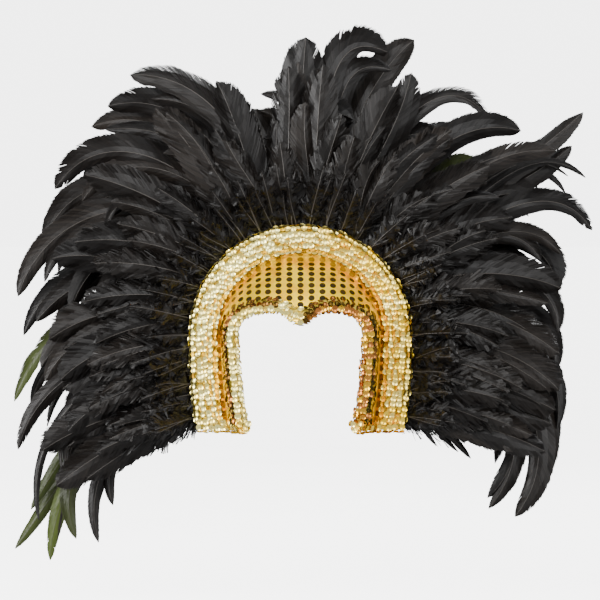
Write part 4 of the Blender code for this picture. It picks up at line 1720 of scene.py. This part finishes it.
@dataclass
class Studio:
    """A light table for a floor, soft lamps in a white room, and the camera."""

    floor_z: float = -0.40
    floor_radius: float = 60.0
    pixel: float = 0.00115
    pixels: int = 600
    lens: float = 300
    centre: tuple[float, float, float] = (-0.0006, 0.0, -0.0476)
    elevation: float = 1.0

    def floor(self) -> None:
        """Makes the floor, a wide round light table."""
        sides = 96
        rim = [
            Vector((self.floor_radius * math.cos(math.tau * i / sides), self.floor_radius * math.sin(math.tau * i / sides),
                    self.floor_z))
            for i in range(sides)
        ]
        table = make_object("light_table", rim, [], [tuple(range(sides))])
        table.data.materials.append(LightTable().material())
        table.visible_diffuse = False
        table.visible_glossy = False

    def lamps(self) -> None:
        """Hangs the soft lamps."""
        for name, place, size, watts in (
            ("key", (-2.3, -1.3, 0.4), 1.5, 108),
            ("fill", (2.1, -1.5, 0.5), 1.6, 42),
            ("top", (0.1, 0.2, 2.2), 1.4, 12),
            ("rim", (0.9, 2.2, 1.6), 1.0, 26),
            ("front", (-0.3, -2.8, 1.4), 1.9, 74),
        ):
            data = bpy.data.lights.new(name, "AREA")
            data.shape = "SQUARE"
            data.size = size
            data.energy = watts
            lamp = bpy.data.objects.new(name, data)
            lamp.location = place
            lamp.rotation_mode = "QUATERNION"
            lamp.rotation_quaternion = (Vector(self.centre) - Vector(place)).to_track_quat("-Z", "Y")
            bpy.context.scene.collection.objects.link(lamp)

    def room(self) -> None:
        """Sets the light of a plain white room, seen as white paper behind the part."""
        world = bpy.data.worlds.new("studio")
        world.use_nodes = True
        tree = world.node_tree
        shown = tree.nodes["Background"]
        lit = add_node(tree, "ShaderNodeBackground", {0: linear("#f6f8fa"), 1: 0.95})
        shown.inputs[0].default_value = linear("#fdfdfd")
        shown.inputs[1].default_value = 4.85
        ray = add_node(tree, "ShaderNodeLightPath")
        both = add_node(tree, "ShaderNodeMixShader", {0: ray.outputs["Is Camera Ray"], 1: lit, 2: shown})
        tree.links.new(both.outputs[0], tree.nodes["World Output"].inputs["Surface"])
        bpy.context.scene.world = world

    def camera(self) -> None:
        """Sets the camera square on, at a scale of one pixel to self.pixel metres."""
        data = bpy.data.cameras.new("camera")
        data.lens = self.lens
        data.clip_end = 200
        distance = self.pixels * self.pixel / 2 * self.lens / (data.sensor_width / 2)
        tilt = math.radians(self.elevation)
        obj = bpy.data.objects.new("camera", data)
        back = Vector((0, -math.cos(tilt), math.sin(tilt)))
        obj.location = Vector(self.centre) + distance * back
        obj.rotation_mode = "QUATERNION"
        obj.rotation_quaternion = (-back).to_track_quat("-Z", "Y")
        bpy.context.scene.collection.objects.link(obj)
        bpy.context.scene.camera = obj

    def build(self) -> None:
        """Sets up the whole studio."""
        self.floor()
        self.lamps()
        self.room()
        self.camera()


def main() -> None:
    """Builds the headdress and the studio."""
    logging.basicConfig(level=logging.INFO, format="%(message)s")
    made = CrownBand().build() + SequinTrims().build() + FeatherFan().build()
    Studio().build()
    total = sum(len(piece.data.loop_triangles) for piece in made)
    log.info("%d pieces, %d triangles", len(made), total)
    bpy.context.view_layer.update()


if __name__ == "__main__":
    main()
